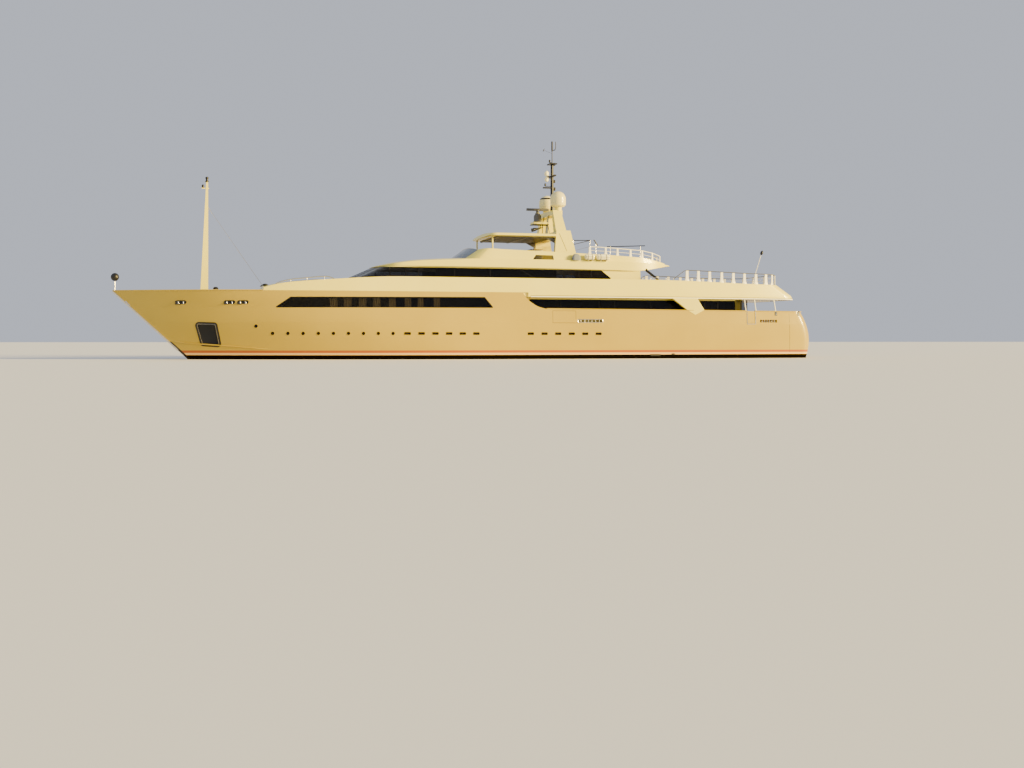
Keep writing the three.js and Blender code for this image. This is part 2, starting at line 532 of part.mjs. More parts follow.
// Mast arch: two broad legs, two upper legs leaning in, a cross beam and the dome seats.
const ARCH = { footZ: SUN_DECK + GAP, shoulder: 10.86, head: 12.72 };
const DOME = { x: -6.74, y: 1.7, low: 13.0, high: 14.35, radius: 0.67 };
const RADAR = { x: -5.4, seat: 12.62, low: 12.8, high: 13.02, half: 1.0 };
const archSide = join([
  leg({ x: [-7.9, -5.8], y: [3.3, 3.72], z: ARCH.footZ },
    { x: [-7.35, -6.12], y: [2.95, 3.3], z: ARCH.shoulder }),
  leg({ x: [-7.1, -6.15], y: [2.4, 3.2], z: ARCH.shoulder - 0.3 },
    { x: [-6.9, -6.2], y: [1.5, 1.95], z: ARCH.head }),
]);
const archBeam = join([
  block(-7.05, -6.2, -1.95, 1.95, 12.3, ARCH.head),
  leg({ x: [-7.5, -6.15], y: [-3.2, 3.2], z: 10.4 }, { x: [-7.4, -6.15], y: [-3.2, 3.2], z: 10.8 }),
  leg({ x: [-7.3, -6.2], y: [-0.5, 0.5], z: 10.7 }, { x: [-7.0, -6.35], y: [-0.25, 0.25], z: 12.4 }),
  leg({ x: [-6.3, -4.9], y: [-0.5, 0.5], z: 11.62 }, { x: [-6.3, -4.9], y: [-0.5, 0.5], z: 11.8 }),
  turned([[0, 11.75], [0.28, 11.75], [0.2, RADAR.seat], [0, RADAR.seat]], RADAR.x, 0, 12),
]);
const domeSeat = turned([[0, ARCH.head - 0.1], [0.3, ARCH.head - 0.1], [0.34, DOME.low], [0, DOME.low]],
  DOME.x, DOME.y, 12);
addMesh('mast_arch', join([archSide, mirrored(archSide), archBeam, domeSeat, mirrored(domeSeat)]), 'cream');
const dome = turned([
  [0, DOME.low + GAP], [0.5, DOME.low + GAP], [DOME.radius, DOME.low + 0.2],
  ...[0, 20, 40, 60, 77].map((a) => [
    DOME.radius * Math.cos(THREE.MathUtils.degToRad(a)),
    DOME.high - DOME.radius + DOME.radius * Math.sin(THREE.MathUtils.degToRad(a)),
  ]),
  [0, DOME.high],
], DOME.x, DOME.y, 20);
addMesh('dome_port', dome, 'white');
addMesh('dome_starboard', mirrored(dome), 'white');
addMesh('radar_scanner', join([
  leg({ x: [RADAR.x - RADAR.half, RADAR.x + RADAR.half], y: [-0.11, 0.11], z: RADAR.low },
    { x: [RADAR.x - RADAR.half, RADAR.x + RADAR.half], y: [-0.06, 0.06], z: RADAR.high }),
  turned([[0, RADAR.seat + GAP], [0.14, RADAR.seat + GAP], [0.14, 12.9], [0, 12.9]], RADAR.x, 0, 12),
]), 'white');

// Black pole mast with its cross arms and whips.
const POLE = { x: -6.72, foot: ARCH.head + GAP, thickTop: 17.03, top: 18.91 };
addMesh('pole_mast', join([
  rod([POLE.x, 0, POLE.foot], [POLE.x, 0, POLE.thickTop], 0.16, 0.13, 10),
  rod([POLE.x, 0, POLE.thickTop - 0.1], [POLE.x, 0, POLE.top], 0.05, 0.03),
  block(-7.0, -5.9, -0.09, 0.09, 14.78, 14.9),
  block(-6.82, -6.62, -0.95, 0.95, 15.78, 15.9),
  block(-7.05, -6.4, -0.5, 0.5, 16.86, 16.96),
]), 'black');

// Foremast: its aft edge is upright and its front edge leans; the stay runs to the coachroof.
const FOREMAST = { aft: 22.47, foot: FORE_DECK + GAP, top: 14.4 };
const foremast = leg({ x: [FOREMAST.aft, 23.15], y: [-0.24, 0.24], z: FOREMAST.foot },
  { x: [FOREMAST.aft, 22.62], y: [-0.07, 0.07], z: FOREMAST.top });
addMesh('foremast', join([foremast, block(22.4, 22.98, -0.06, 0.06, 13.86, 13.93),
  rod([22.56, 0, FOREMAST.top - 0.1], [22.56, 0, 14.78], 0.09, 0.09, 8)]), 'white');
addMesh('forestay', stoodOn(coachroof, rod([22.55, 0, 12.48], [18.08, 0, 5.98], 0.018))
  .subtract(foremast.translate([-GAP, 0, 0])), 'steel');

// Jackstaff in the eyes of the ship with the black day ball.
const BALL = { x: 29.7, z: 6.6, radius: 0.33 };
addMesh('jackstaff', rod([BALL.x, 0, SHEER + GAP], [BALL.x, 0, BALL.z - BALL.radius - GAP], 0.035), 'steel');
addMesh('day_ball', turned([
  [0, BALL.z - BALL.radius],
  ...[-60, -30, 0, 30, 60].map((a) => [
    BALL.radius * Math.cos(THREE.MathUtils.degToRad(a)),
    BALL.z + BALL.radius * Math.sin(THREE.MathUtils.degToRad(a)),
  ]),
  [0, BALL.z + BALL.radius],
], BALL.x, 0, 12), 'black');

// Teak: thin decks laid inside the bulwarks, clear of the houses.
const teakMain = inWell(mainWell, LAID, -28.7, SALOON.fore - 0.2, MAIN_DECK + GAP, MAIN_DECK + TEAK)
  .subtract(block(SALOON.aft - 0.02, 20, -SALOON.half - 0.02, SALOON.half + 0.02, 2, 4));
const teakFore = inWell(foreWell, LAID, BREAK_FRONT + 0.02, 28.2, FORE_DECK + GAP, FORE_DECK + TEAK)
  .subtract(block(22.3, 23.3, -0.35, 0.35, 4, 5));
const teakUpper = upperSpace(UPPER_DECK + GAP, () => UPPER_DECK + TEAK, UPPER_DECK + TEAK, 11.2,
  UPPER.wall + 0.1)
  .subtract(bridgeBody(-0.02, 5, 6, BRIDGE.aft - 0.02))
  .subtract(block(-25.54, -25.3, -0.12, 0.12, 5, 6));
const teakSun = insideCoaming(0.04).intersect(block(-17, 3, -5, 5, SUN_DECK + GAP, SUN_DECK + TEAK))
  .subtract(block(-8.0, -5.7, 3.2, 4, 8, 9)).subtract(block(-8.0, -5.7, -4, -3.2, 8, 9))
  .subtract(block(POST.x - 0.1, POST.x + 0.1, POST.y - 0.1, POST.y + 0.1, 8, 9))
  .subtract(block(POST.x - 0.1, POST.x + 0.1, -POST.y - 0.1, -POST.y + 0.1, 8, 9));
addMesh('main_deck_teak', teakMain, 'teak');
addMesh('fore_deck_teak', teakFore, 'teak');
addMesh('upper_deck_teak', teakUpper, 'teak');
addMesh('sun_deck_teak', teakSun, 'teak');

// Running gear
function bothSides(name, body, finish) {
  addMesh(`${name}_port`, body, finish);
  addMesh(`${name}_starboard`, mirrored(body), finish);
}
const shaftPoint = (x) => [x, SHAFT.y, SHAFT.z];
const shaft = rod(shaftPoint(SHAFT.aft), shaftPoint(SHAFT.fore), SHAFT.radius, SHAFT.radius, 12);
bothSides('shaft', shaft, 'steel');
const BRACKET = { aft: -23.9, fore: -22.9, radius: 0.24 };
const [barrelAft, barrelFore] = [shaftPoint(BRACKET.aft), shaftPoint(BRACKET.fore)];
const bracketBarrel = rod(barrelAft, barrelFore, BRACKET.radius, BRACKET.radius, 12);
const bracketArms = [-0.9, 0.75].map((lean) => leg(
  { x: [-23.7, -23.1], y: [SHAFT.y - 0.06, SHAFT.y + 0.06], z: -2.3 },
  { x: [-23.7, -23.1], y: [SHAFT.y + lean - 0.06, SHAFT.y + lean + 0.06], z: -0.6 },
));
const bracket = join([bracketBarrel, ...bracketArms])
  .subtract(bored(shaftPoint(-25), shaftPoint(-22), SHAFT.radius))
  .subtract(hullOuter.translate([0, 0, -GAP]));
bothSides('shaft_bracket', bracket, 'bronze');

// Four-bladed propeller: each blade is a plate twisted along its radius.
const PROP = { x: SHAFT.aft - 0.26 - GAP, radius: 0.92, hub: 0.2, blades: 4 };
const blade = shaped(3, 6, 1, (i, j, k) => {
  const r = lerp(0.12, PROP.radius, i / 3);
  const chord = [0.34, 0.62, 0.74, 0.3][i] * (j / 6 - 0.5);
  const pitch = Math.atan2(0.55, r * 1.1 + 0.15);
  const thick = (0.5 - k) * lerp(0.09, 0.03, i / 3);
  const [s, c] = [Math.sin(pitch), Math.cos(pitch)];
  return [chord * s + thick * c, chord * c - thick * s, r];
});
const blades = Array.from({ length: PROP.blades }, (_, n) => blade.rotate([(360 / PROP.blades) * n, 0, 0]));
const hub = rod([-0.3, 0, 0], [0.26, 0, 0], 0.1, PROP.hub, 12);
bothSides('propeller', join([hub, ...blades]).translate(shaftPoint(PROP.x)), 'bronze');

// Spade rudders on their stocks
const rudderBlade = sidePrism(
  [[RUDDER.x + 0.5, RUDDER.top], [RUDDER.x + 0.42, RUDDER.bottom], [RUDDER.x - 0.75, RUDDER.bottom],
    [RUDDER.x - 0.95, RUDDER.top]], -0.13, 0.13,
).intersect(planPrism([[RUDDER.x + 0.5, 0], [RUDDER.x + 0.35, 0.1], [RUDDER.x, 0.13], [RUDDER.x - 0.95, 0.02],
  [RUDDER.x - 0.95, -0.02], [RUDDER.x, -0.13], [RUDDER.x + 0.35, -0.1]], -4, 0));
const rudder = rudderBlade.add(rod([RUDDER.x, 0, RUDDER.top - 0.1], [RUDDER.x, 0, RUDDER.head - 0.05],
  RUDDER.stock, RUDDER.stock, 12)).translate([0, RUDDER.y, 0]);
bothSides('rudder', rudder, 'antifoul');

// Stabiliser fins, hung from the turn of the bilge on a stock that leans out and down.
const finSpan = Math.hypot(FIN.tip[0] - FIN.root[0], FIN.tip[1] - FIN.root[1]);
const finFlat = planPrism([[0.8, 0.12], [0.55, finSpan], [-0.9, finSpan], [-0.9, 0.12]], -0.11, 0.11)
  .intersect(sectionPrism([[0.0, 0.11], [finSpan + 0.1, 0.07], [finSpan + 0.1, -0.07], [0, -0.11]], -2, 2))
  .add(rod([0, -0.55, 0], [0, 0.3, 0], FIN.stock, FIN.stock, 12));
const finLean = THREE.MathUtils.radToDeg(Math.atan2(FIN.tip[1] - FIN.root[1], FIN.tip[0] - FIN.root[0]));
bothSides('fin', finFlat.rotate([finLean, 0, 0]).translate([FIN.x, ...FIN.root]), 'antifoul');

// Starboard anchor, stowed in its pocket; the port one is down, so its pocket is empty.
const POCKET_FLOOR = -POCKET_DEPTH - GAP;
const anchor = join([
  leg({ x: [22.05, 22.75], y: [-1.75, POCKET_FLOOR], z: 1.42 },
    { x: [22.15, 22.85], y: [-1.75, POCKET_FLOOR], z: 1.7 }),
  rod([22.5, -1.2, 1.6], [22.75, -1.2, 2.6], 0.09, 0.07, 8),
]);
addMesh('anchor_starboard', anchor, 'steel');

// Windlasses on the fore deck: each has its gearbox and a drum that turns on a cross shaft.
const WINDLASS = { x: 24.6, y: 0.75, z: FORE_DECK + TEAK + GAP };
const windlass = block(WINDLASS.x - 0.4, WINDLASS.x + 0.4, 0.35, 0.78, WINDLASS.z, WINDLASS.z + 0.62);
const drumShaft = 0.08;
const drumAt = (y) => [WINDLASS.x, y, WINDLASS.z + 0.36];
const drum = rod(drumAt(0.8), drumAt(1.12), 0.24, 0.24, 12)
  .add(rod(drumAt(0.6), drumAt(0.9), drumShaft, drumShaft, 12));
bothSides('windlass', windlass.subtract(bored(drumAt(0.58), drumAt(0.9), drumShaft)), 'white');
bothSides('windlass_drum', drum, 'steel');

// Deck rails: a path along the bulwark with posts at each point, a top rail and lower ones.
function railing(path, heights, post, bar) {
  const parts = [];
  path.forEach(([x, y, z], n) => {
    parts.push(rod([x, y, z - 0.04], [x, y, z + heights[0]], post, post, 4));
    if (n === 0) return;
    const [x0, y0, z0] = path[n - 1];
    heights.forEach((h, row) => {
      const thick = row ? bar * 0.6 : bar;
      parts.push(rod([x0, y0, z0 + h], [x, y, z + h], thick, thick, 4));
    });
  });
  return join(parts);
}
const UPPER_RAIL_X = [-17.35, -18.42, -19.49, -20.65, -21.78, -22.87, -24.0, -25.0, -25.7];
const upperRailHalf = UPPER_RAIL_X.map((x) => [x, upperHalf(x, 6.5) - 0.13, along(UPPER_TOP, x)]);
const upperRailPath = [...upperRailHalf, [-26.4, 3.2, 6.4], [-26.4, 1.1, 6.4]];
const bothPaths = (half) => [...half, ...half.slice().reverse().map(([x, y, z]) => [x, -y, z])];
addMesh('upper_deck_rail', stoodOn(upperDeck, railing(bothPaths(upperRailPath), [0.9, 0.45], 0.05, 0.04)),
  'white');
const SUN_RAIL_X = [-8.9, -10.33, -11.41, -12.62, -13.75, -14.8];
const sunRailHalf = SUN_RAIL_X.map((x) => {
  const z = along(COAMING_TOP, x);
  return [x, along(COAMING_HALF, x) - COAMING.lean * (z - SUN_DECK) - COAMING.wall / 2, z];
});
addMesh('sun_deck_rail', stoodOn(sunDeck, railing(
  bothPaths([...sunRailHalf, [-15.9, 2.2, 8.28], [-16.1, 0.9, 8.28]]), [0.62, 0.3], 0.035, 0.03,
)), 'steel');
const COACH_RAIL = [[17.3, 2.9, 5.9], [16.2, 2.95, 6.18], [14.8, 3.0, 6.38], [13.4, 3.05, 6.5]];
const coachRail = railing(COACH_RAIL, [0.2], 0.02, 0.022);
addMesh('coachroof_rail_port', stoodOn(coachroof, coachRail), 'steel');
addMesh('coachroof_rail_starboard', stoodOn(coachroof, mirrored(coachRail)), 'steel');

// Ensign staff raked aft, stepped on the upper deck just inside the bulwark
addMesh('ensign_staff', stoodOn(upperDeck, rod([-25.41, 0, 5.54], [-26.7, 0, 9.44], 0.04, 0.025)), 'white');

// Loose furniture of the open decks
const TABLE = (x, y, z, length, width) => join([
  block(x - length / 2, x + length / 2, y - width / 2, y + width / 2, z + 0.68, z + 0.74),
  block(x - 0.2, x + 0.2, y - 0.2, y + 0.2, z + GAP, z + 0.7),
]);
addMesh('upper_deck_table', TABLE(-18.5, 0, UPPER_DECK + TEAK, 3.2, 1.5), 'teak');
addMesh('upper_deck_sofa', join([
  block(-24.6, -23.7, -2.6, 2.6, UPPER_DECK + TEAK + GAP, UPPER_DECK + 0.5),
  block(-24.6, -24.3, -2.6, 2.6, UPPER_DECK + 0.4, UPPER_DECK + 0.95),
]), 'cushion');
addMesh('main_deck_sofa', join([
  block(-27.9, -27.0, -2.4, 2.4, MAIN_DECK + TEAK + GAP, MAIN_DECK + 0.5),
  block(-27.9, -27.6, -2.4, 2.4, MAIN_DECK + 0.4, MAIN_DECK + 0.95),
]), 'cushion');
addMesh('sun_deck_sunpad', block(-14.6, -12.2, -1.9, 1.9, SUN_DECK + TEAK + GAP, SUN_DECK + 0.5), 'cushion');
addMesh('sun_deck_bar', block(-5.4, -4.4, -1.6, 1.6, SUN_DECK + TEAK + GAP, SUN_DECK + 1.15), 'white');

export default yacht;
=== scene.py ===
# Motor yacht of 60 m as a model at half size, dressed over its CAD frame. Sizes are in metres of the
# full-size yacht, X forward from midships, Y to port and Z up from the waterline, and made() halves them.
# The camera, the floor's noise and the other materials are set in metres of the model.
import math

import bmesh
import bpy
from mathutils import Matrix, Vector
from mathutils.bvhtree import BVHTree
from mathutils.geometry import barycentric_transform


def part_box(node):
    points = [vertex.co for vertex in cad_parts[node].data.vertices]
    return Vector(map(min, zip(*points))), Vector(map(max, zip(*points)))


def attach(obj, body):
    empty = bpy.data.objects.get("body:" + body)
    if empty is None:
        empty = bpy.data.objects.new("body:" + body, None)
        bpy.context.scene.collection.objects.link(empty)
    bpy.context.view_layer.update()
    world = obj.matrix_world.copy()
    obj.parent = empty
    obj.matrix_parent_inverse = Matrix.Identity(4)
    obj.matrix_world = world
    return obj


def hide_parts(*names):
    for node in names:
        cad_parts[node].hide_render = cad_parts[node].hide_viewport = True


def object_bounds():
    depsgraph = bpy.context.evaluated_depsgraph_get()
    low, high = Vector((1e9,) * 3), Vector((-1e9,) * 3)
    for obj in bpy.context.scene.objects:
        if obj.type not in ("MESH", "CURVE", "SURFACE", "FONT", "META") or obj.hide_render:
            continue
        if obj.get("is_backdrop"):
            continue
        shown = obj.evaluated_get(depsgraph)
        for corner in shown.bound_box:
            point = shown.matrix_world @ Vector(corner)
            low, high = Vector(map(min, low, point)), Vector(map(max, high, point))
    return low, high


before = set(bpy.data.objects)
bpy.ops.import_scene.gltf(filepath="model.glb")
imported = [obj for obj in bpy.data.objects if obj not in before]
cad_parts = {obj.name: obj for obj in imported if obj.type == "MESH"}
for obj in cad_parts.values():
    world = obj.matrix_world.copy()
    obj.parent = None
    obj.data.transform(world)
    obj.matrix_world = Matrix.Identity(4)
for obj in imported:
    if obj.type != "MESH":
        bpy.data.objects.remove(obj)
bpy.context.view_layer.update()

# Camera where the photograph was taken: low over the water off the port side, a little forward of the
# beam. The horizon lies above the middle of the picture, which the small shift allows for.
sight = bpy.data.cameras.new("camera")
sight.lens = 44.2
sight.shift_y = -0.0428
sight.clip_end = 2000
camera = bpy.data.objects.new("camera", sight)
camera.location = (12.53, 52.55, 0.78)
camera.rotation_euler = (math.radians(90), 0, math.radians(165))
bpy.context.scene.collection.objects.link(camera)
bpy.context.scene.camera = camera


# Studio floor at the waterline: plain pale matt vinyl, wide enough to reach the horizon. It isn't part
# of the yacht, and it stands in for the water.
def linear(colour):
    parts = [int(colour[n:n + 2], 16) / 255 for n in (1, 3, 5)]
    return [c / 12.92 if c <= 0.04045 else ((c + 0.055) / 1.055) ** 2.4 for c in parts] + [1.0]


def add(tree, kind, settings, links):
    node = tree.nodes.new("ShaderNode" + kind)
    for name, value in settings.items():
        setattr(node, name, value)
    for name, value in links.items():
        if isinstance(value, bpy.types.NodeSocket):
            tree.links.new(value, node.inputs[name])
        else:
            node.inputs[name].default_value = value
    return node


def finish_named(name):
    finish = bpy.data.materials.new(name)
    finish.use_nodes = True
    finish.node_tree.nodes.clear()
    return finish, finish.node_tree


def noise(tree, scale, detail=2.0, **more):
    return add(tree, "TexNoise", {}, {"Scale": scale, "Detail": detail, **more}).outputs["Fac"]


def blend(tree, share, one, two):
    one, two = (linear(colour) if isinstance(colour, str) else colour for colour in (one, two))
    return add(tree, "Mix", {"data_type": "RGBA"}, {0: share, 6: one, 7: two}).outputs[2]


def surfaced(tree, inputs):
    shader = add(tree, "BsdfPrincipled", {}, inputs)
    add(tree, "OutputMaterial", {}, {"Surface": shader.outputs[0]})


HALF = 0.5


def rows_of(shape, rows, closed=False, capped=False):
    lines = [[shape.verts.new(Vector(point)) for point in row] for row in rows]
    for one, two in zip(lines, lines[1:]):
        for i in range(len(one) if closed else len(one) - 1):
            j = (i + 1) % len(one)
            shape.faces.new((one[i], one[j], two[j], two[i]))
    if capped:
        shape.faces.new(lines[0])
        shape.faces.new(lines[-1])
    return shape


def made(shape, name, angle=30):
    bmesh.ops.remove_doubles(shape, verts=shape.verts, dist=1e-4)
    bmesh.ops.recalc_face_normals(shape, faces=shape.faces)
    bmesh.ops.scale(shape, vec=(HALF, HALF, HALF), verts=shape.verts)
    mesh = bpy.data.meshes.new(name)
    shape.to_mesh(mesh)
    shape.free()
    mesh.shade_smooth()
    mesh.set_sharp_from_angle(angle=math.radians(angle))
    piece = bpy.data.objects.new(name, mesh)
    bpy.context.scene.collection.objects.link(piece)
    return piece


matt_vinyl, tree = finish_named("matt_vinyl_floor")
surfaced(tree, {"Base Color": blend(tree, noise(tree, 3.0), "#dfdedb", "#e6e5e2"), "Roughness": 0.7})
reach = 900
floor = made(rows_of(bmesh.new(), [[(-reach, -reach, 0), (reach, -reach, 0)],
                                   [(-reach, reach, 0), (reach, reach, 0)]]), "studio_floor")
floor.data.materials.append(matt_vinyl)
floor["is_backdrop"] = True

# Studio light: a broad warm key from the port quarter, low as in the photograph, a weak cool fill from
# the bow, and a pale room all round.
for name, colour, strength, spread, lift, bearing in (
    ("key_light", "#ffe08a", 14.5, 16, 13, 148),
    ("fill_light", "#dfe8ff", 0.5, 60, 35, 15),
):
    lamp = bpy.data.lights.new(name, "SUN")
    lamp.color = linear(colour)[:3]
    lamp.energy = strength
    lamp.angle = math.radians(spread)
    light = bpy.data.objects.new(name, lamp)
    light.rotation_euler = (0, math.radians(90 - lift), math.radians(bearing))
    bpy.context.scene.collection.objects.link(light)
room = bpy.data.worlds.new("room")
room.use_nodes = True
room.node_tree.nodes["Background"].inputs["Color"].default_value = linear("#e2e8f6")
room.node_tree.nodes["Background"].inputs["Strength"].default_value = 0.74
bpy.context.scene.world = room

# Hull: welded steel plating, filled and faired, with the main deck and foredeck inside its bulwarks. It
# is solid below the main deck. Lofted from stem to transom, then the openings are cut.
SHEER, MAIN_DECK, FORE_DECK, DRAUGHT, WALL = 5.5, 2.97, 4.25, 3.1, 0.14
STEM_RAKE = 1.068
STERN_RADIUS = 0.8
SIDES = ((1, "port"), (-1, "starboard"))


def clamp01(t):
    return min(1.0, max(0.0, t))


def lerp(a, b, t):
    return a + (b - a) * t


def stem_x(z):
    return 24.06 + STEM_RAKE * z - (0.45 * z * z if z < 0 else 0)


def stern_x(z):
    return -29.44 + 0.13 * (z - 1.4) ** 2


def knuckle(x, z):
    low = clamp01((z - 1.6) / 1.4) if z < 3 else clamp01((4.15 - z) / 1.15)
    high = clamp01((z - 3) / 1.15) if z < 4.15 else clamp01((SHEER - z) / 1.35)
    ends = clamp01((stem_x(z) - x) / 3) * clamp01((x - stern_x(z)) / 2)
    return ends * (0.07 * low - 0.06 * clamp01((x - 14) / 5) * high)


def half_breadth(x, z, inset=0.0):
    rise = clamp01(z / SHEER)
    full = 5.1 + 0.15 * clamp01(z / 2)
    shoulder = 8 * rise
    half = full
    if x > shoulder:
        half = full * (1 - min(1, (x - shoulder) / (stem_x(z) - shoulder)) ** (1.9 + 0.8 * rise))
    if x < -12:
        half = full - 0.8 * ((-12 - x) / 17.4) ** 2
    radius = STERN_RADIUS - inset
    off = min(radius, max(0, x - stern_x(z) - inset))
    round_off = radius - math.sqrt(max(0, radius ** 2 - (radius - off) ** 2))
    skin = knuckle(x, z) if inset == 0 else 0
    return max(half - inset - round_off + skin, 0.05)


def box_grid(us, vs, ws, place, shape=None):
    shape = shape or bmesh.new()
    corners = {}

    def at(i, j, k):
        if (i, j, k) not in corners:
            corners[i, j, k] = shape.verts.new(Vector(place(us[i], vs[j], ws[k])))
        return corners[i, j, k]

    nu, nv, nw = len(us) - 1, len(vs) - 1, len(ws) - 1
    for j in range(nv):
        for k in range(nw):
            for i in (0, nu):
                shape.faces.new((at(i, j, k), at(i, j + 1, k), at(i, j + 1, k + 1), at(i, j, k + 1)))
    for i in range(nu):
        for k in range(nw):
            for j in (0, nv):
                shape.faces.new((at(i, j, k), at(i + 1, j, k), at(i + 1, j, k + 1), at(i, j, k + 1)))
        for j in range(nv):
            for k in (0, nw):
                shape.faces.new((at(i, j, k), at(i + 1, j, k), at(i + 1, j + 1, k), at(i, j + 1, k)))
    return shape


def steps(a, b, count):
    return [lerp(a, b, n / count) for n in range(count + 1)]


def pushed(points, low, high, axis, shape=None):
    place = {"x": lambda a, b, c: (c, a, b), "y": lambda a, b, c: (a, c, b), "z": lambda a, b, c: (a, b, c)}
    rows = [[place[axis](a, b, c) for a, b in points] for c in (low, high)]
    return rows_of(shape or bmesh.new(), rows, closed=True, capped=True)


def block(x0, x1, y0, y1, z0, z1, shape=None):
    return pushed([(x0, y0), (x1, y0), (x1, y1), (x0, y1)], z0, z1, "z", shape)


def sided(side, near, far):
    return sorted((side * near, side * far))


def tube(shape, path, radius, sides=10):
    path = [Vector(point) for point in path]
    rings, side = [], None
    for n, point in enumerate(path):
        ahead = (path[min(n + 1, len(path) - 1)] - path[max(n - 1, 0)]).normalized()
        side = side or ahead.orthogonal()
        side = (side - ahead * side.dot(ahead)).normalized()
        up = ahead.cross(side)
        r = radius[n] if isinstance(radius, list) else radius
        turns = [2 * math.pi * k / sides for k in range(sides)]
        rings.append([point + (side * math.cos(a) + up * math.sin(a)) * r for a in turns])
    return rows_of(shape, rings, closed=True, capped=True)


def settled(piece):
    bpy.context.view_layer.update()
    depsgraph = bpy.context.evaluated_depsgraph_get()
    mesh = bpy.data.meshes.new_from_object(piece.evaluated_get(depsgraph))
    piece.modifiers.clear()
    old, piece.data = piece.data, mesh
    bpy.data.meshes.remove(old)
    return piece


def eased(piece, width, segments=3, angle=30):
    edge = piece.modifiers.new("edge", "BEVEL")
    edge.width, edge.segments = width, segments
    edge.limit_method, edge.angle_limit = "ANGLE", math.radians(angle)
    return settled(piece)


def copied(model, name):
    copy = model.copy()
    copy.data = model.data.copy()
    copy.name = name
    bpy.context.scene.collection.objects.link(copy)
    return copy


def cut(piece, shapes, how="DIFFERENCE"):
    tools = [shape if isinstance(shape, bpy.types.Object) else made(shape, "tool") for shape in shapes]
    for tool in tools:
        change = piece.modifiers.new("cut", "BOOLEAN")
        change.solver, change.operation, change.object = "MANIFOLD", how, tool
    settled(piece)
    for tool in tools:
        bpy.data.objects.remove(tool)
    return piece


def true_curve(piece, *forms):
    trees = []
    for form in forms:
        mesh = form.data
        mesh.calc_loop_triangles()
        points = [vertex.co.copy() for vertex in mesh.vertices]
        triangles = [tuple(t.vertices) for t in mesh.loop_triangles]
        corners = [[mesh.corner_normals[n].vector.copy() for n in t.loops] for t in mesh.loop_triangles]
        trees.append((BVHTree.FromPolygons(points, triangles), points, triangles, corners))
    mesh = piece.data
    mesh.shade_smooth()
    mesh.set_sharp_from_angle(angle=math.radians(30))
    normals = [corner.vector.copy() for corner in mesh.corner_normals]
    for face in mesh.polygons:
        for n in face.loop_indices:
            spot = mesh.vertices[mesh.loops[n].vertex_index].co.lerp(face.center, 0.03)
            for finder, points, triangles, corners in trees:
                near, _, which, _ = finder.find_nearest(spot, 0.004)
                if near is None:
                    continue
                ends = [points[v] for v in triangles[which]]
                true = barycentric_transform(near, *ends, *corners[which]).normalized()
                if abs(true.dot(face.normal)) > 0.85:
                    normals[n] = true if true.dot(face.normal) > 0 else -true
                    break
    mesh.normals_split_custom_set(normals)
    for form in forms:
        bpy.data.objects.remove(form)
    return piece


def fitted(piece, finish, slot, *nodes, body="yacht"):
    piece.data.materials.clear()
    piece.data.materials.append(finish)
    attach(piece, body)
    if nodes:
        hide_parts(*nodes)
    return piece


QUARTER = [STERN_RADIUS * (1 - math.cos(math.radians(a))) / 57 for a in range(0, 91, 9)]
HULL_STATIONS = [*QUARTER, 0.018, 0.024, 0.032, *steps(0.045, 0.96, 61), 0.97, 0.98, 0.987, 0.993, 0.997, 1]
HULL_DEPTHS = [-0.96, -0.92, -0.87, -0.8, -0.7, -0.58, -0.45, -0.32, -0.2, -0.1]
HULL_HEIGHTS = [0, 0.35, 0.7, 1.1, 1.6, 2.1, 2.6, 2.98, 3.02, 3.5, 4.12, 4.18, 4.6, 5.05, SHEER]


def hull_point(t, side, level):
    camber = 0.12 * (1 - side ** 2) if t == 0 else 0
    if level >= 0:
        x = lerp(stern_x(level), stem_x(level), t)
        return x - camber, side * half_breadth(x, level), level
    part = lerp(1, -level, abs(side)) if level == HULL_DEPTHS[0] else -level
    depth = DRAUGHT - (2.1 * ((0.42 - t) / 0.42) ** 1.5 if t < 0.42 else 0)
    x = lerp(stern_x(-part), stem_x(-DRAUGHT * part), t)
    bilge = 1.3 + 1.7 * clamp01((22 - x) / 18)
    floated = half_breadth(lerp(stern_x(0), stem_x(0), t), 0)
    half = max(floated * (1 + (-1 if abs(side) else 0) * (-level) ** bilge), 0.05)
    return x - camber, side * half, -depth * part


def well(floor_z, top, aft, fore, inset=WALL):
    return box_grid([0, 0.002, 0.005, 0.01, 0.016, 0.024] + steps(0.04, 1, 40), [-1, 0, 1],
                    [floor_z, (floor_z + top) / 2, top],
                    lambda t, side, z: (
                        lerp(max(aft, stern_x(z) + inset), fore, t),
                        side * half_breadth(lerp(max(aft, stern_x(z) + inset), fore, t), z, inset), z))


def smooth_path(points, per=6):
    out = []
    for n in range(len(points) - 1):
        p0, p1, p2, p3 = (points[min(max(n + k, 0), len(points) - 1)] for k in (-1, 0, 1, 2))
        for s in range(per):
            t = s / per
            out.append(tuple(0.5 * (2 * b + (c - a) * t + (2 * a - 5 * b + 4 * c - d) * t * t
                                    + (3 * b - a - 3 * c + d) * t ** 3)
                             for a, b, c, d in zip(p0, p1, p2, p3)))
    return out + [tuple(points[-1])]


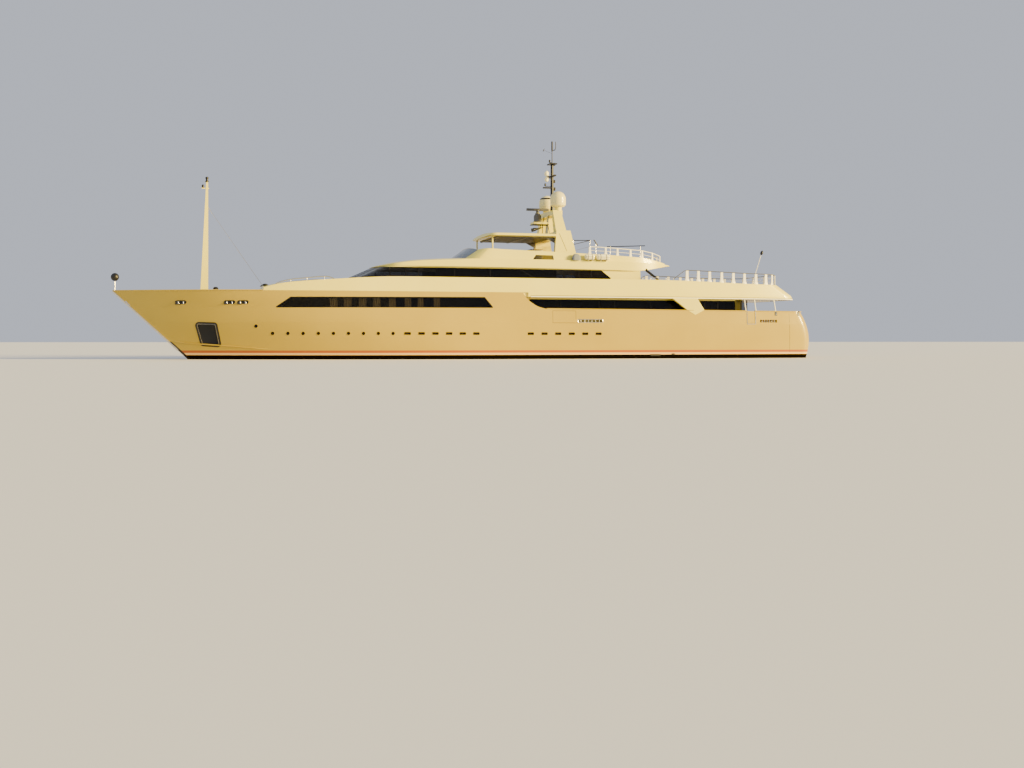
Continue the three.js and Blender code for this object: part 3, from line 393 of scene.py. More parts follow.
STEP_DOWN = smooth_path([(-2.63, 5.51), (-2.75, 5.3), (-3.2, 4.8), (-3.9, 4.36), (-4.62, 4.16)], 5)
ABOVE_BULWARK = [(-2.5, 7), *STEP_DOWN, (-28.53, 4.06), (-31, 4), (-31, 7)]
HULL_WINDOW = [(17.49, 4.14), (16.26, 5.0), (0.6, 5.09), (-0.16, 4.2)]
ANCHOR_POCKET = [(23.4, 2.86), (21.98, 2.81), (21.62, 1.14), (22.94, 1.24)]
FASHION_PLATE = [(-15.85, 5.14), (-18.15, 5.14), (-18.8, 4.15), (-17.97, 3.72), (-17.23, 4.14)]
FAIRLEADS = [(24.62, 4.56), (20.91, 4.56), (19.89, 4.56)]
FREEING_PORTS = [(-9.52, -7.4, 3.06, 3.28), (-25.83, -24.15, 3.1, 3.34)]
PORTHOLES = ([(18.86, 2.68, 0.28)] + [(x, 2.1, 0.28) for x in steps(17.56, 8.15, 8)]
             + [(x, 2.1, 0.55) for x in steps(6.99, 1.32, 5) + steps(-3.3, -9.2, 5)])
GATE = (-23.68, -22.93, 3.03, 4.3)


def hull_form():
    return box_grid(HULL_STATIONS, [-1, -0.66, -0.33, 0, 0.33, 0.66, 1], HULL_DEPTHS + HULL_HEIGHTS,
                    hull_point)


def rounded(points, radius, count=5):
    out = []
    for n, (x, y) in enumerate(points):
        corner = Vector((x, y))
        before = (Vector(points[n - 1]) - corner).normalized()
        after = (Vector(points[(n + 1) % len(points)]) - corner).normalized()
        between = before.angle(after) / 2
        one, two = corner + before * radius / math.tan(between), corner + after * radius / math.tan(between)
        for k in range(count + 1):
            t = k / count
            pull = 2 * t * (1 - t) * math.sin(between)
            point = one * (1 - t) ** 2 + corner * pull + two * t * t
            out.append(tuple(point / ((1 - t) ** 2 + pull + t * t)))
    return out


def oval(x, z, wide, high, radius, grow=0.0):
    across, up = wide / 2 + grow, high / 2 + grow
    return rounded([(x + across, z + up), (x - across, z + up), (x - across, z - up), (x + across, z - up)],
                   radius + grow)


def port_line(x, z, wide, grow=0.0):
    return oval(x, z, wide, 0.28, 0.139, grow) if wide < 0.3 else oval(x, z, wide, 0.22, 0.06, grow)


def fairlead_line(x, z, grow=0.0):
    return oval(x, z, 0.76, 0.2, 0.098, grow)


def deck_wells():
    return [well(MAIN_DECK, 5.7, -40, 17.9), well(FORE_DECK, 5.7, 18.1, 29.1)]


hull = cut(made(hull_form(), "hull_plating"), [*deck_wells(), pushed(ABOVE_BULWARK, -7, 7, "y")])
gate_leaf_hull = copied(hull, "gate_leaf_hull")
openings = [
    block(GATE[0], GATE[1], -6, 6, GATE[2], GATE[3]),
    block(-31, -29, -1.8, 1.8, 0.76, 2.7),
    block(-29.05, -26.2, -2.1, 2.1, 0.6, 2.75),
    tube(bmesh.new(), [(18.2, -4, -1.45), (18.2, 4, -1.45)], 0.42, 32),
    pushed(rounded(HULL_WINDOW, 0.06), -7, 7, "y"),
]
openings += [pushed(fairlead_line(x, z), -6, 6, "y") for x, z in FAIRLEADS]
port_pockets = bmesh.new()
for side in (1, -1):
    for x, z, wide in PORTHOLES:
        face = half_breadth(x, z)
        pushed(port_line(x, z, wide), *sided(side, face - 0.09, face + 0.25), "y", port_pockets)
openings.append(port_pockets)
for side in (1, -1):
    openings.append(pushed(rounded(ANCHOR_POCKET, 0.12), *sided(side, 1.0, 4), "y"))
    openings.append(pushed(FASHION_PLATE, *sided(side, 4, 7), "y"))
    openings += [block(aft, fore, *sided(side, 4, 6), low, high)
                 for aft, fore, low, high in FREEING_PORTS]
cut(hull, openings)
true_curve(hull, *[made(form, "form") for form in (hull_form(), *deck_wells())])

# Topside paint: two-pack polyurethane over filler, a deep even gloss with a faint orange peel. Heights part
# the matt black boot-top, a pale line, a rust-red line and the tan; the forefoot at the stem is nearly black.
def placed(tree):
    return add(tree, "TexCoord", {}, {}).outputs["Object"]


def maths(tree, operation, *values):
    return add(tree, "Math", {"operation": operation}, dict(enumerate(values))).outputs[0]


def ranged(tree, value, low, high):
    return add(tree, "MapRange", {}, {0: value, 3: low, 4: high}).outputs[0]


def rippled(tree, height, strength, distance, **settings):
    return add(tree, "Bump", settings, {
        "Height": height, "Strength": strength, "Distance": distance}).outputs[0]


topside_paint, tree = finish_named("two_pack_polyurethane_topside_paint")
place = placed(tree)
split = add(tree, "SeparateXYZ", {}, {"Vector": place})
drift = noise(tree, 0.5, 4.0, Vector=place)
colour = blend(tree, drift, "#ae942c", "#bca238")
for height, shade in ((0.365, "#a4551f"), (0.265, "#e2b874"), (0.175, "#0e0a05")):
    below = maths(tree, "LESS_THAN", split.outputs["Z"], height)
    colour = blend(tree, below, colour, shade)
from_stem = maths(tree, "MULTIPLY_ADD", split.outputs["Z"], -STEM_RAKE, split.outputs["X"])
forefoot = maths(tree, "MULTIPLY", maths(tree, "GREATER_THAN", from_stem, 11.9),
                 maths(tree, "LESS_THAN", split.outputs["Z"], 0.72))
shine = ranged(tree, below, 0.3, 0.0)
surfaced(tree, {
    "Base Color": blend(tree, forefoot, colour, "#1d150b"), "Roughness": ranged(tree, drift, 0.24, 0.4),
    "Normal": rippled(tree, noise(tree, 18.0, Vector=place), 0.04, 0.02),
    "Coat Weight": shine, "Specular IOR Level": shine})
fitted(hull, topside_paint, "topside", "hull")

# Boarding gates: leaves of the bulwark itself, one each side, that swing inwards on an upright pin at their
# aft edge. The transom door, over the tender garage, hinges down on its bottom edge.
def dressed(name, finish, slot, edge=0.02, body="yacht"):
    shape = bmesh.new()
    shape.from_mesh(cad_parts[name].data)
    bmesh.ops.remove_doubles(shape, verts=shape.verts, dist=1e-5)
    bmesh.ops.dissolve_limit(shape, angle_limit=math.radians(1), verts=shape.verts, edges=shape.edges)
    bmesh.ops.scale(shape, vec=(1 / HALF, 1 / HALF, 1 / HALF), verts=shape.verts)
    piece = eased(made(shape, name + "_finished", 32), edge * HALF, 2, 32)
    weigh = piece.modifiers.new("weigh", "WEIGHTED_NORMAL")
    weigh.keep_sharp = False
    settled(piece)
    return fitted(piece, finish, slot, name, body=body)


for side, name in SIDES:
    leaf = copied(gate_leaf_hull, "gate_leaf_" + name)
    cut(leaf, [block(GATE[0] + 0.04, GATE[1] - 0.014, *sided(side, 3, 7), GATE[2] + 0.014, GATE[3])],
        how="INTERSECT")
    true_curve(leaf, made(hull_form(), "form"))
    fitted(leaf, topside_paint, "topside", "boarding_gate_" + name, body="boarding_gate_" + name)
bpy.data.objects.remove(gate_leaf_hull)
dressed("transom_door", topside_paint, "topside", 0.015, body="transom_door")

# Cream superstructure paint: sprayed two-pack over faired aluminium, wet-looking, with a faint orange peel
# and slow drifts of tone where panels were blended. sprayed() serves the yacht's other sprayed coats too.
def sprayed(name, main, second, low_gloss, high_gloss, coat_weight):
    finish, tree = finish_named(name)
    place = placed(tree)
    drift = noise(tree, 0.7, 4.0, Vector=place)
    surfaced(tree, {
        "Base Color": blend(tree, drift, main, second),
        "Roughness": ranged(tree, drift, low_gloss, high_gloss),
        "Normal": rippled(tree, noise(tree, 22.0, Vector=place), 0.04, 0.02), "Coat Weight": coat_weight})
    return finish


cream_paint = sprayed("cream_two_pack_paint", "#e6d65a", "#eee06c", 0.26, 0.4, 0.3)

# Fashion plates: the slanting struts that carry the overhang down into the bulwark, one each side. They
# wear the cream paint, and their edges are eased.
for name in ("fashion_plate_port", "fashion_plate_starboard"):
    dressed(name, cream_paint, "cream_paint", 0.02)

# Upper deck: aluminium shell of bulwark, overhang and deck plate in one, with a raked round aft end. Its
# sides carry the hull's up, so it is lofted on the same lines.
UPPER_DECK, DECK_UNDER, AFT_RADIUS = 5.56, 5.14, 1.3
UPPER_TOP = [(18.34, 5.72), (17.6, 5.94), (16.4, 6.16), (14.4, 6.33), (12.4, 6.46), (10.8, 6.57), (9.0, 6.66),
             (7.6, 6.69), (-14.84, 6.69), (-18.51, 6.61), (-23.25, 6.45), (-26.53, 6.4)]


def along(table, x):
    if x >= table[0][0]:
        return table[0][1]
    for (x0, v0), (x1, v1) in zip(table, table[1:]):
        if x >= x1:
            return lerp(v1, v0, (x - x1) / (x0 - x1))
    return table[-1][1]


def upper_aft(z):
    return -28.08 + max(0, z - 5.4) * 1.55


def upper_half(x, z, inset=0.0):
    half = half_breadth(x, SHEER) - 0.08 * max(0, z - SHEER)
    if x < -8:
        half = 5.25 - 0.9 * ((-8 - x) / 19) ** 2 - 0.08 * max(0, z - SHEER)
    radius = AFT_RADIUS - inset
    off = min(radius, max(0, x - upper_aft(z) - inset))
    return half - inset - radius + math.sqrt(max(0, radius ** 2 - (radius - off) ** 2))


def upper_space(floor_z, top, reach, fore, inset, levels):
    ends = [1 - math.cos(math.radians(a)) for a in range(0, 91, 9)]
    rows = [("end", part) for part in ends] + [("x", x) for x in steps(-22.9, fore, 72)]

    def place(row, side, level):
        z = lerp(floor_z, reach, level)
        start = upper_aft(z) + inset
        x = start + row[1] * AFT_RADIUS if row[0] == "end" else row[1]
        return x, side * upper_half(x, z, inset), lerp(floor_z, top(x), level)

    return box_grid(rows, [-1, -0.5, 0, 0.5, 1], levels, place)


def upper_form():
    return upper_space(DECK_UNDER, lambda x: along(UPPER_TOP, x), 6.4, 18.34, 0,
                       [0, 0.05, 0.11, 0.286, 0.4, 0.6, 0.8, 1])


def upper_inside():
    return upper_space(UPPER_DECK, lambda x: 6.75, 6.75, 19.34, 0.26, [0, 0.5, 1])


upper = cut(made(upper_form(), "upper_deck_shell"), [block(-3.1, 20, -7, 7, 4.1, 5.501)])
cut(upper, [well(DECK_UNDER, UPPER_DECK, -3.2, 17.85, WALL + 0.002)], how="UNION")
cut(upper, [upper_inside()])
true_curve(upper, made(upper_form(), "form"), made(upper_inside(), "form"))
fitted(upper, cream_paint, "cream_paint", "upper_deck")

# Saloon house: cream aluminium walls with a long band of toughened glass each side, bonded from outside,
# and sliding glass doors aft. The glass is nearly black and very smooth, and lets the rooms show faintly.
tinted_glass, tree = finish_named("tinted_toughened_glass")
film = noise(tree, 1.2, Vector=placed(tree))
surfaced(tree, {
    "Base Color": blend(tree, film, "#030304", "#08080b"), "Roughness": ranged(tree, film, 0.03, 0.09),
    "IOR": 1.52, "Specular IOR Level": 0.2, "Alpha": 0.58})

dressed("saloon_house", cream_paint, "cream_paint", 0.02)
for name in ("saloon_window_port", "saloon_window_starboard"):
    dressed(name, tinted_glass, "dark_glass", 0.006)
for name in ("saloon_door_port", "saloon_door_starboard"):
    dressed(name, tinted_glass, "dark_glass", 0.012, body=name)

# Hull windows: a long curved pane of the same glass each side, set a little behind the topsides' skin.
def hull_pane(name, side, depth, thick):
    (x_fl, z_fl), (x_ft, z_ft), (x_at, z_at), (x_al, z_al) = HULL_WINDOW

    def place(s, out, t):
        x = lerp(lerp(x_al, x_at, t), lerp(x_fl, x_ft, t), s)
        z = lerp(lerp(z_al, z_fl, s), lerp(z_at, z_ft, s), t)
        return x, side * (half_breadth(x, z) - depth - out * thick), z

    return made(box_grid(steps(0.001, 0.999, 50), [0, 1], steps(0.004, 0.996, 4), place), name)


for side, name in SIDES:
    fitted(hull_pane("hull_panes_" + name, side, 0.035, 0.05), tinted_glass, "dark_glass",
           "hull_window_" + name)

# Posts between the hull panes, and nearly black veneer panels behind them that paint the shade of the rooms
# within. Black enamel is sprayed thin on metal and keeps a soft sheen; the veneer has a long grain.
def stretched(tree, place, by):
    return add(tree, "VectorMath", {"operation": "MULTIPLY"}, {0: place, 1: by}).outputs[0]


black_enamel = sprayed("black_enamel", "#060504", "#0d0a08", 0.4, 0.55, 0.0)
shade_veneer, tree = finish_named("painted_shade_veneer")
grain = noise(tree, 3.0, 5.0, Vector=stretched(tree, placed(tree), (0.4, 3, 6)))
surfaced(tree, {"Base Color": blend(tree, grain, "#120b07", "#23160d"), "Roughness": 0.55})


def strip(shape, surface, side, ends, width, low, high, pieces=6):
    (x0, z0), (x1, z1) = ends
    long = math.hypot(x1 - x0, z1 - z0)
    wx, wz = (z0 - z1) / long * width / 2, (x1 - x0) / long * width / 2

    def place(t, s, out):
        x, z = lerp(x0, x1, t) + s * wx, lerp(z0, z1, t) + s * wz
        return x, side * (surface(x, z) + out), z

    return box_grid(steps(0, 1, pieces), [-1, 1], [low, high], place, shape)


posts, shade_lining = bmesh.new(), bmesh.new()
for side in (1, -1):
    for x in (14.78, 12.16, 10.98, 9.82, 8.57, 7.27, 6.21, 4.9, 3.82):
        strip(posts, half_breadth, side, ((x, 4.1), (x, 5.12)), 0.09, -0.14, -0.088)
    # Nearly black veneer panels inboard of the panes: painted shade of the rooms behind the glass.
    box_grid(steps(-0.8, 17.2, 24), [0, 1], [3.01, 5.13],
             lambda x, deep, z: (x, side * max(0.2, half_breadth(x, 4.5) - 0.8 - 0.04 * deep), z), shade_lining)
fitted(made(posts, "hull_window_posts"), black_enamel, "black_paint")
fitted(made(shade_lining, "cabin_shade_lining"), shade_veneer, "teak")

# Curtains: pleated voile panels behind the forward hull panes, hung from the deck above. Woven polyester
# has a soft sheen at the folds; the thread is drawn much coarser than the real half millimetre.
def waves(tree, place, way, scale, distortion):
    return add(tree, "TexWave", {"bands_direction": way}, {
        "Vector": place, "Scale": scale, "Distortion": distortion}).outputs["Fac"]


CURTAIN_HEAD, CURTAIN_FOOT, FULLNESS = 5.125, 4.0, 1.5
voile, tree = finish_named("pleated_polyester_voile")
thread = waves(tree, placed(tree), "Z", 40.0, 1.0)
surfaced(tree, {
    "Base Color": blend(tree, thread, "#d9c59a", "#ebdcb6"), "Roughness": 0.85, "Sheen Weight": 0.3})


def curtain(name, side, fore, aft):
    folds = max(4, round((fore - aft) / 0.12))

    def at(t, drop):
        x = lerp(aft, fore, t)
        wave = math.sin(2 * math.pi * folds * t + 0.8 * math.sin(7 * t)) * lerp(0.022, 0.04, drop)
        return x, side * (half_breadth(x, 4.6) - 0.34 + wave), lerp(CURTAIN_HEAD, CURTAIN_FOOT, drop)

    panel = made(rows_of(bmesh.new(), [[at(t, drop) for t in steps(0, 1, folds * 8)]
                                       for drop in steps(0, 1, 6)]), name, 80)
    fitted(panel, voile, "cushion")


for side, name in SIDES:
    for n, (fore, aft) in enumerate(((13.18, 12.55), (12.1, 11.44), (10.92, 10.27), (9.76, 9.15), (8.5, 7.9),
                                     (7.2, 6.63), (6.15, 5.64), (4.84, 4.27))):
        curtain("curtain_%s_%d" % (name, n), side, fore, aft)

# Hull fittings: rollers, freeing-port frames, gate trim, stem guard and anchor pocket liners are of stainless
# steel, whose polish leaves faint rubbed hazes. Porthole rims wear the topside paint. The black casings
# behind the fairlead openings paint the shade seen through them; the fairlead rims, gaskets, pocket frames
# and the seams of the shell doors are black.
stainless, tree = finish_named("polished_stainless_steel")
haze = noise(tree, 9.0, 5.0, Vector=placed(tree))
surfaced(tree, {
    "Base Color": blend(tree, haze, "#c9c4b8", "#dcd8cf"), "Metallic": 1.0,
    "Roughness": ranged(tree, haze, 0.12, 0.3)})


def rim(shape, inner, outer, surface, side, back, front):
    middle = [((a + c) / 2, (b + d) / 2) for (a, b), (c, d) in zip(inner, outer)]
    rows = [[(x, side * (surface(x, z) + out), z) for x, z in line]
            for line, out in ((inner, back), (inner, front * 0.6), (middle, front), (outer, front * 0.6),
                              (outer, back), (inner, back))]
    rows_of(shape, rows, closed=True)


def fine(points, gap):
    out = []
    for n, (x, y) in enumerate(points):
        ax, ay = points[n - 1]
        pieces = max(1, math.ceil(math.hypot(x - ax, y - ay) / gap))
        out += [(lerp(ax, x, k / pieces), lerp(ay, y, k / pieces)) for k in range(1, pieces + 1)]
    return out


def grown(points, by):
    turn = sum(a[0] * b[1] - a[1] * b[0] for a, b in zip(points, points[1:] + points[:1]))
    out = []
    for n, point in enumerate(points):
        before, after = Vector(point) - Vector(points[n - 1]), Vector(points[(n + 1) % len(points)])
        after -= Vector(point)
        one, two = (Vector((v.y, -v.x)).normalized() * math.copysign(1, turn) for v in (before, after))
        way = (one + two).normalized()
        out.append(tuple(Vector(point) + way * by / max(0.5, way.dot(one))))
    return out


port_rims, shade_casings_and_rims, port_glass = bmesh.new(), bmesh.new(), bmesh.new()
rollers, frames, gaskets = bmesh.new(), bmesh.new(), bmesh.new()
window_line = fine(rounded(HULL_WINDOW, 0.06), 0.5)
pocket_frames, liners, seams, gate_trim = bmesh.new(), bmesh.new(), bmesh.new(), bmesh.new()
pocket_line = fine(rounded(ANCHOR_POCKET, 0.12), 0.2)
for side in (1, -1):
    for x, z, wide in PORTHOLES:
        face = half_breadth(x, z)
        rim(port_rims, port_line(x, z, wide, -0.004), port_line(x, z, wide, 0.03), half_breadth, side,
            -0.03, 0.01)
        pushed(port_line(x, z, wide, 0.003), *sided(side, face - 0.085, face - 0.06), "y",
               port_glass)
    rim(gaskets, grown(window_line, -0.05), grown(window_line, 0.006), half_breadth, side, -0.04, -0.002)
    for x, z in FAIRLEADS:
        inboard = half_breadth(x, z) - WALL
        # Black casing behind each fairlead opening: painted shade seen through it.
        block(x - 0.44, x + 0.44, *sided(side, inboard - 0.22, inboard + 0.03), 4.38, 4.74, shade_casings_and_rims)
        rim(shade_casings_and_rims, fairlead_line(x, z, -0.012), fairlead_line(x, z, 0.045), half_breadth, side, -0.06, 0.03)
        for step in (-0.2, 0.2):
            y = side * (half_breadth(x + step, z) - 0.07)
            tube(rollers, [(x + step, y, z - 0.1), (x + step, y, z - 0.07), (x + step, y, z),
                           (x + step, y, z + 0.07), (x + step, y, z + 0.1)],
                 [0.075, 0.066, 0.058, 0.066, 0.075], 14)
    for aft, fore, low, high in FREEING_PORTS:
        line = fine(oval((aft + fore) / 2, (low + high) / 2, fore - aft, high - low, 0.03), 0.3)
        outer = grown(line, 0.04)
        if fore > -20:
            rim(frames, line, outer, half_breadth, side, -0.03, 0.02)
        for x in steps(aft + 0.25, fore - 0.25, 5):
            y = side * (half_breadth(x, low) - 0.07)
            tube(frames, [(x, y, low - 0.01), (x, y, high + 0.01)], 0.022, 8)
    rim(pocket_frames, pocket_line, grown(pocket_line, 0.16), half_breadth, side, -0.03, 0.03)
    pushed(grown(pocket_line, -0.02), *sided(side, 1.004, 1.03), "y", pocket_frames)
    lines = [[(x, side * y, z) for (x, z), y in zip(line, depth)] for line, depth in (
        (pocket_line, [half_breadth(x, z) - 0.01 for x, z in pocket_line]),
        (grown(pocket_line, -0.015), [half_breadth(x, z) - 0.01 for x, z in pocket_line]),
        (grown(pocket_line, -0.015), [1.012] * len(pocket_line)),
        (grown(pocket_line, 0.01), [1.004] * len(pocket_line)))]
    rows_of(liners, lines, closed=True)
    for shut in (((-5.19, 3.0), (-5.19, 4.0)), ((-5.19, 4.0), (-7.2, 4.0)), ((-7.2, 4.0), (-7.2, 3.32)),
                 ((-5.19, 3.0), (-7.3, 3.0)), ((-27.05, 3.9), (-27.2, 0.5))):
        strip(seams, half_breadth, side, shut, 0.022, -0.01, 0.0015, 10)
    aft, fore = GATE[0] - 0.035, GATE[1] + 0.035
    for edge in (((aft, 2.95), (aft, 4.09)), ((fore, 2.95), (fore, 4.09)),
                 ((GATE[0] - 0.03, 2.96), (GATE[1] + 0.03, 2.96))):
        strip(gate_trim, half_breadth, side, edge, 0.05, -0.01, 0.016, 8)
fitted(made(port_rims, "porthole_rims"), topside_paint, "topside")
fitted(made(shade_casings_and_rims, "fairlead_shade_casings_and_rims"), black_enamel, "black_paint")
fitted(made(gaskets, "hull_window_gaskets"), black_enamel, "black_paint")
fitted(made(rollers, "fairlead_rollers"), stainless, "stainless")
fitted(made(frames, "freeing_port_frames"), stainless, "stainless")
fitted(made(liners, "anchor_pocket_liners"), stainless, "stainless")
fitted(made(gate_trim, "boarding_gate_trim"), stainless, "stainless")
fitted(made(pocket_frames, "anchor_pocket_frames"), black_enamel, "black_paint")
fitted(made(seams, "shell_door_seams"), black_enamel, "black_paint")
fitted(made(port_glass, "porthole_glass"), tinted_glass, "dark_glass")
guard = tube(bmesh.new(), [(stem_x(z) - 0.035, 0, z) for z in steps(0.75, 5.46, 24)], 0.085, 14)
fitted(made(guard, "stem_guard"), stainless, "stainless")

# Spray rails and capping: a steel knuckle welded low on each bow that throws the bow wave out, and the
# rounded cap on top of the bulwarks. All are painted with the topsides.
SPRAY = [(25.85, 1.5), (23.77, 1.3), (21.46, 1.14), (18.64, 0.89), (17.4, 0.8)]


def swept(shape, path, section):
    rows = []
    for n, point in enumerate(path):
        ahead = Vector(path[min(n + 1, len(path) - 1)]) - Vector(path[max(n - 1, 0)])
        out = Vector((ahead.y, -ahead.x, 0)).normalized()
        rows.append([Vector(point) + out * u + Vector((0, 0, v)) for u, v in section])
    return rows_of(shape, rows, closed=True, capped=True)


spray_rails, capping = bmesh.new(), bmesh.new()
for side in (1, -1):
    rows = []
    for x in steps(25.45, 17.5, 30):
        z, ends = along(SPRAY, x), clamp01((25.45 - x) / 1.2) * clamp01((x - 17.5) / 1.5)
        rows.append([(x, side * (half_breadth(x, z + up) + out * ends - 0.01), z + up)
                     for out, up in ((0.0, 0.05), (0.1, 0.012), (0.11, -0.01), (0.0, -0.09))])
    rows_of(spray_rails, rows, closed=True, capped=True)
bow = [(x, half_breadth(x, SHEER), SHEER) for x in steps(18.4, 29.85, 40)]
CAP = [(-0.17, -0.01), (-0.17, 0.03), (-0.13, 0.055), (0.0, 0.055), (0.035, 0.035), (0.04, 0.0),
       (0.02, -0.03), (-0.02, -0.03)]
swept(capping, [(x, -y, z) for x, y, z in bow] + [(x, y, z) for x, y, z in bow[::-1]], CAP)


def bulwark_top(x):
    return along(ABOVE_BULWARK[1:-2], x)


def aft_cap(fore, aft):
    return [(x, half_breadth(x, bulwark_top(x)), bulwark_top(x)) for x in steps(fore, aft, 30)]


def bend(start, radius, angles):
    return [start + radius * (1 - math.cos(math.radians(a))) for a in angles]


CAP_AFT = 4.06
stern = stern_x(CAP_AFT)
corner = [(x, half_breadth(x, CAP_AFT), CAP_AFT) for x in bend(stern, STERN_RADIUS, range(80, -1, -8))]
end_half = corner[-1][1]
across = [(stern - 0.12 * (1 - (y / end_half) ** 2), y, CAP_AFT) for y in steps(end_half, 0, 8)][1:]
port_line_aft = aft_cap(GATE[0] - 0.02, -28.5) + corner[1:] + across
swept(capping, port_line_aft + [(x, -y, z) for x, y, z in port_line_aft[-2::-1]], CAP)
for side in (1, -1):
    path = [(x, side * y, z) for x, y, z in aft_cap(-4.7, GATE[1] + 0.02)]
    swept(capping, path if side > 0 else path[::-1], CAP)
fitted(made(spray_rails, "spray_rails"), topside_paint, "topside")
fitted(made(capping, "bulwark_capping"), topside_paint, "topside")

# Soffit lip along the upper deck's lower edge, a thin black line above it that paints the shade of a drip
# groove, and the pillars that carry the overhang from the bulwark. Lip and pillars wear a white powder coat
# with a soft satin sheen.
def both_sides(half):
    return half + [(x, -y, z) for x, y, z in half[::-1]]


def deck_edge(z):
    start = upper_aft(z)
    bends = steps(-3.3, start + AFT_RADIUS, 50) + bend(start, AFT_RADIUS, range(81, -1, -9))
    return both_sides([(x, upper_half(x, z), z) for x in bends])


lip, groove_shade_line, pillars = bmesh.new(), bmesh.new(), bmesh.new()
swept(lip, deck_edge(DECK_UNDER), [(-0.12, -0.015), (-0.12, 0.02), (0.02, 0.03), (0.035, 0.055), (0.05, 0.03),
                                   (0.05, -0.005), (0.03, -0.02)])
# Thin black line above the lip: painted shade of a drip groove.
swept(groove_shade_line, deck_edge(5.235), [(-0.03, 0.0), (-0.03, 0.03), (0.004, 0.03), (0.004, 0.0)])
for side in (1, -1):
    for x in (-22.82, -23.8, -25.74):
        foot, head = half_breadth(x, 4.1) - 0.08, upper_half(x, 5.14) - 0.12
        tube(pillars, [(x, side * foot, 4.05), (x, side * foot, 4.16),
                       (x, side * lerp(foot, head, 0.5), 4.65), (x, side * head, 5.13)],
             [0.075, 0.05, 0.045, 0.05], 12)
white_coat = sprayed("white_powder_coat", "#f3ecd0", "#faf5e0", 0.35, 0.5, 0.0)
fitted(made(lip, "soffit_lip"), white_coat, "white_gelcoat")
fitted(made(groove_shade_line, "drip_groove_shade_line"), black_enamel, "black_paint")
fitted(made(pillars, "overhang_pillars"), white_coat, "white_gelcoat")

# Coachroof: the low cream trunk ahead of the wheelhouse, sloping down to the foredeck. Its top is cambered
# along a curve of crown heights, and it is cut to the round front of the bridge house.
COACH_CAMBER = 0.3
COACH = [(11.4, 6.7), (12.6, 6.62), (14.4, 6.5), (16.45, 6.32), (17.5, 6.14), (18.2, 5.98)]


def bridge_front(z):
    return along([(7.7, 8.5), (6.35, 11.5), (5.5, 11.55)], z)


def bridge_half(z):
    return 4.12 - 0.07 * (z - UPPER_DECK)


def bridge_body(inset, low, high, aft):
    heights = sorted({low, high, *[z for z in (5.9, 6.2, 6.35, 6.5, 6.8, 7.1, 7.4) if low < z < high]})
    rows = [None] + [math.sin(math.radians(a)) for a in range(0, 91, 6)]

    def place(part, across, z):
        half = bridge_half(z) - inset
        if part is None:
            return aft, across * half, z
        edge = half - (1 - math.sqrt(max(0, 1 - part ** 2))) * 1.5
        front = bridge_front(z) - inset - 1.5 + part * 1.5 + 0.5 * part * (1 - across ** 2)
        return front, across * edge, z

    return box_grid(rows, steps(-1, 1, 24), heights, place)


def coach_half(x):
    return half_breadth(x, SHEER) - 1.01


def coach_form():
    top = smooth_path(COACH)

    def place(row, across, level):
        x, crown = row
        z = crown - COACH_CAMBER * across ** 2 if level else UPPER_DECK + 0.001
        return x, across * coach_half(x), z

    return box_grid(top, steps(-1, 1, 16), [0, 1], place)


coachroof = cut(made(coach_form(), "coachroof_trunk"), [bridge_body(-0.01, 5.5, 7.6, -13.4)])
eased(coachroof, 0.02)
true_curve(coachroof, made(coach_form(), "form"))
fitted(coachroof, cream_paint, "cream_paint", "coachroof")

# Sun deck: moulded roof of the bridge house with its overhang and the coaming round the open deck, all in
# one. The windscreen bonded between the coaming's ends is of grey acrylic that lets a little light through.
SUN_DECK, SUN_TEAK, COAMING_LEAN = 8.15, 8.19, 0.16
ROOF = [(9.24, 7.62, 7.64, 7.64, 0.6), (9.12, 7.62, 7.69, 7.67, 1.4), (8.95, 7.62, 7.74, 7.69, 2.05),
        (8.62, 7.62, 7.83, 7.72, 2.95), (8.2, 7.62, 7.93, 7.77, 3.6), (7.5, 7.62, 8.08, 7.86, 3.98),
        (6.2, 7.62, 8.26, 8.02, 4.12), (4.5, 7.62, 8.4, 8.13, 4.2), (2.6, 7.62, 8.5, 8.2, 4.25),
        (0.7, 7.62, 8.5, 8.3, 4.25), (-5, 7.58, 8.4, 8.3, 4.25), (-10.6, 7.52, 8.3, 8.25, 4.2),
        (-13.3, 7.5, 8.25, 8.2, 4.05), (-15.3, 7.8, 8.16, 8.16, 3.4), (-16.4, 8.0, 8.12, 8.12, 2.5),
        (-17.0, 8.05, 8.1, 8.1, 1.7)]
COAMING_TOP = [(2.5, 9.12), (1.2, 9.2), (-4.45, 9.03), (-10.65, 8.81), (-13.9, 8.62), (-15.44, 8.36),
               (-16.5, 8.2)]
COAMING_HALF = [(2.78, 0.9), (2.55, 2.1), (2.1, 3.1), (1.75, 3.55), (1.2, 3.9), (0.5, 4.05), (-2, 4.07),
                (-5, 4.08), (-8, 4.05), (-10.6, 4.0), (-13.3, 3.82), (-15.3, 3.15), (-16.3, 2.3)]
SLOT_WINDOW = [(-5.68, 8.26), (-5.6, 8.68), (-4.1, 8.7), (-3.78, 8.26)]


def roof_form():
    rows = smooth_path(ROOF, 5)
    return box_grid(rows, steps(-1, 1, 20), [0, 1], lambda row, across, level: (
        row[0], across * row[4], lerp(row[2], row[3], across ** 2) if level else row[1]))


def front_rake(x, z):
    return (z - SUN_DECK) * 1.45 * clamp01((x + 1.5) / 3.6)


def coaming_body(inset, low, high):
    rows = smooth_path(COAMING_HALF, 5)

    def place(row, side, level):
        x, half = row
        z = high(x) if level else low
        ends = inset * (clamp01(-15.3 - x) - clamp01((x - 2.55) / 0.23))
        return x + ends - front_rake(x, z), side * (half - COAMING_LEAN * (z - SUN_DECK) - inset), z

    return box_grid(rows, [-1, 0, 1], [0, 1], place)


def coaming_top(x):
    return along(COAMING_TOP, x)


def coaming_half(x, z):
    return along(COAMING_HALF, x) - COAMING_LEAN * (z - SUN_DECK)


def coaming_inside():
    return coaming_body(WALL, 7.9, lambda x: 9.6)


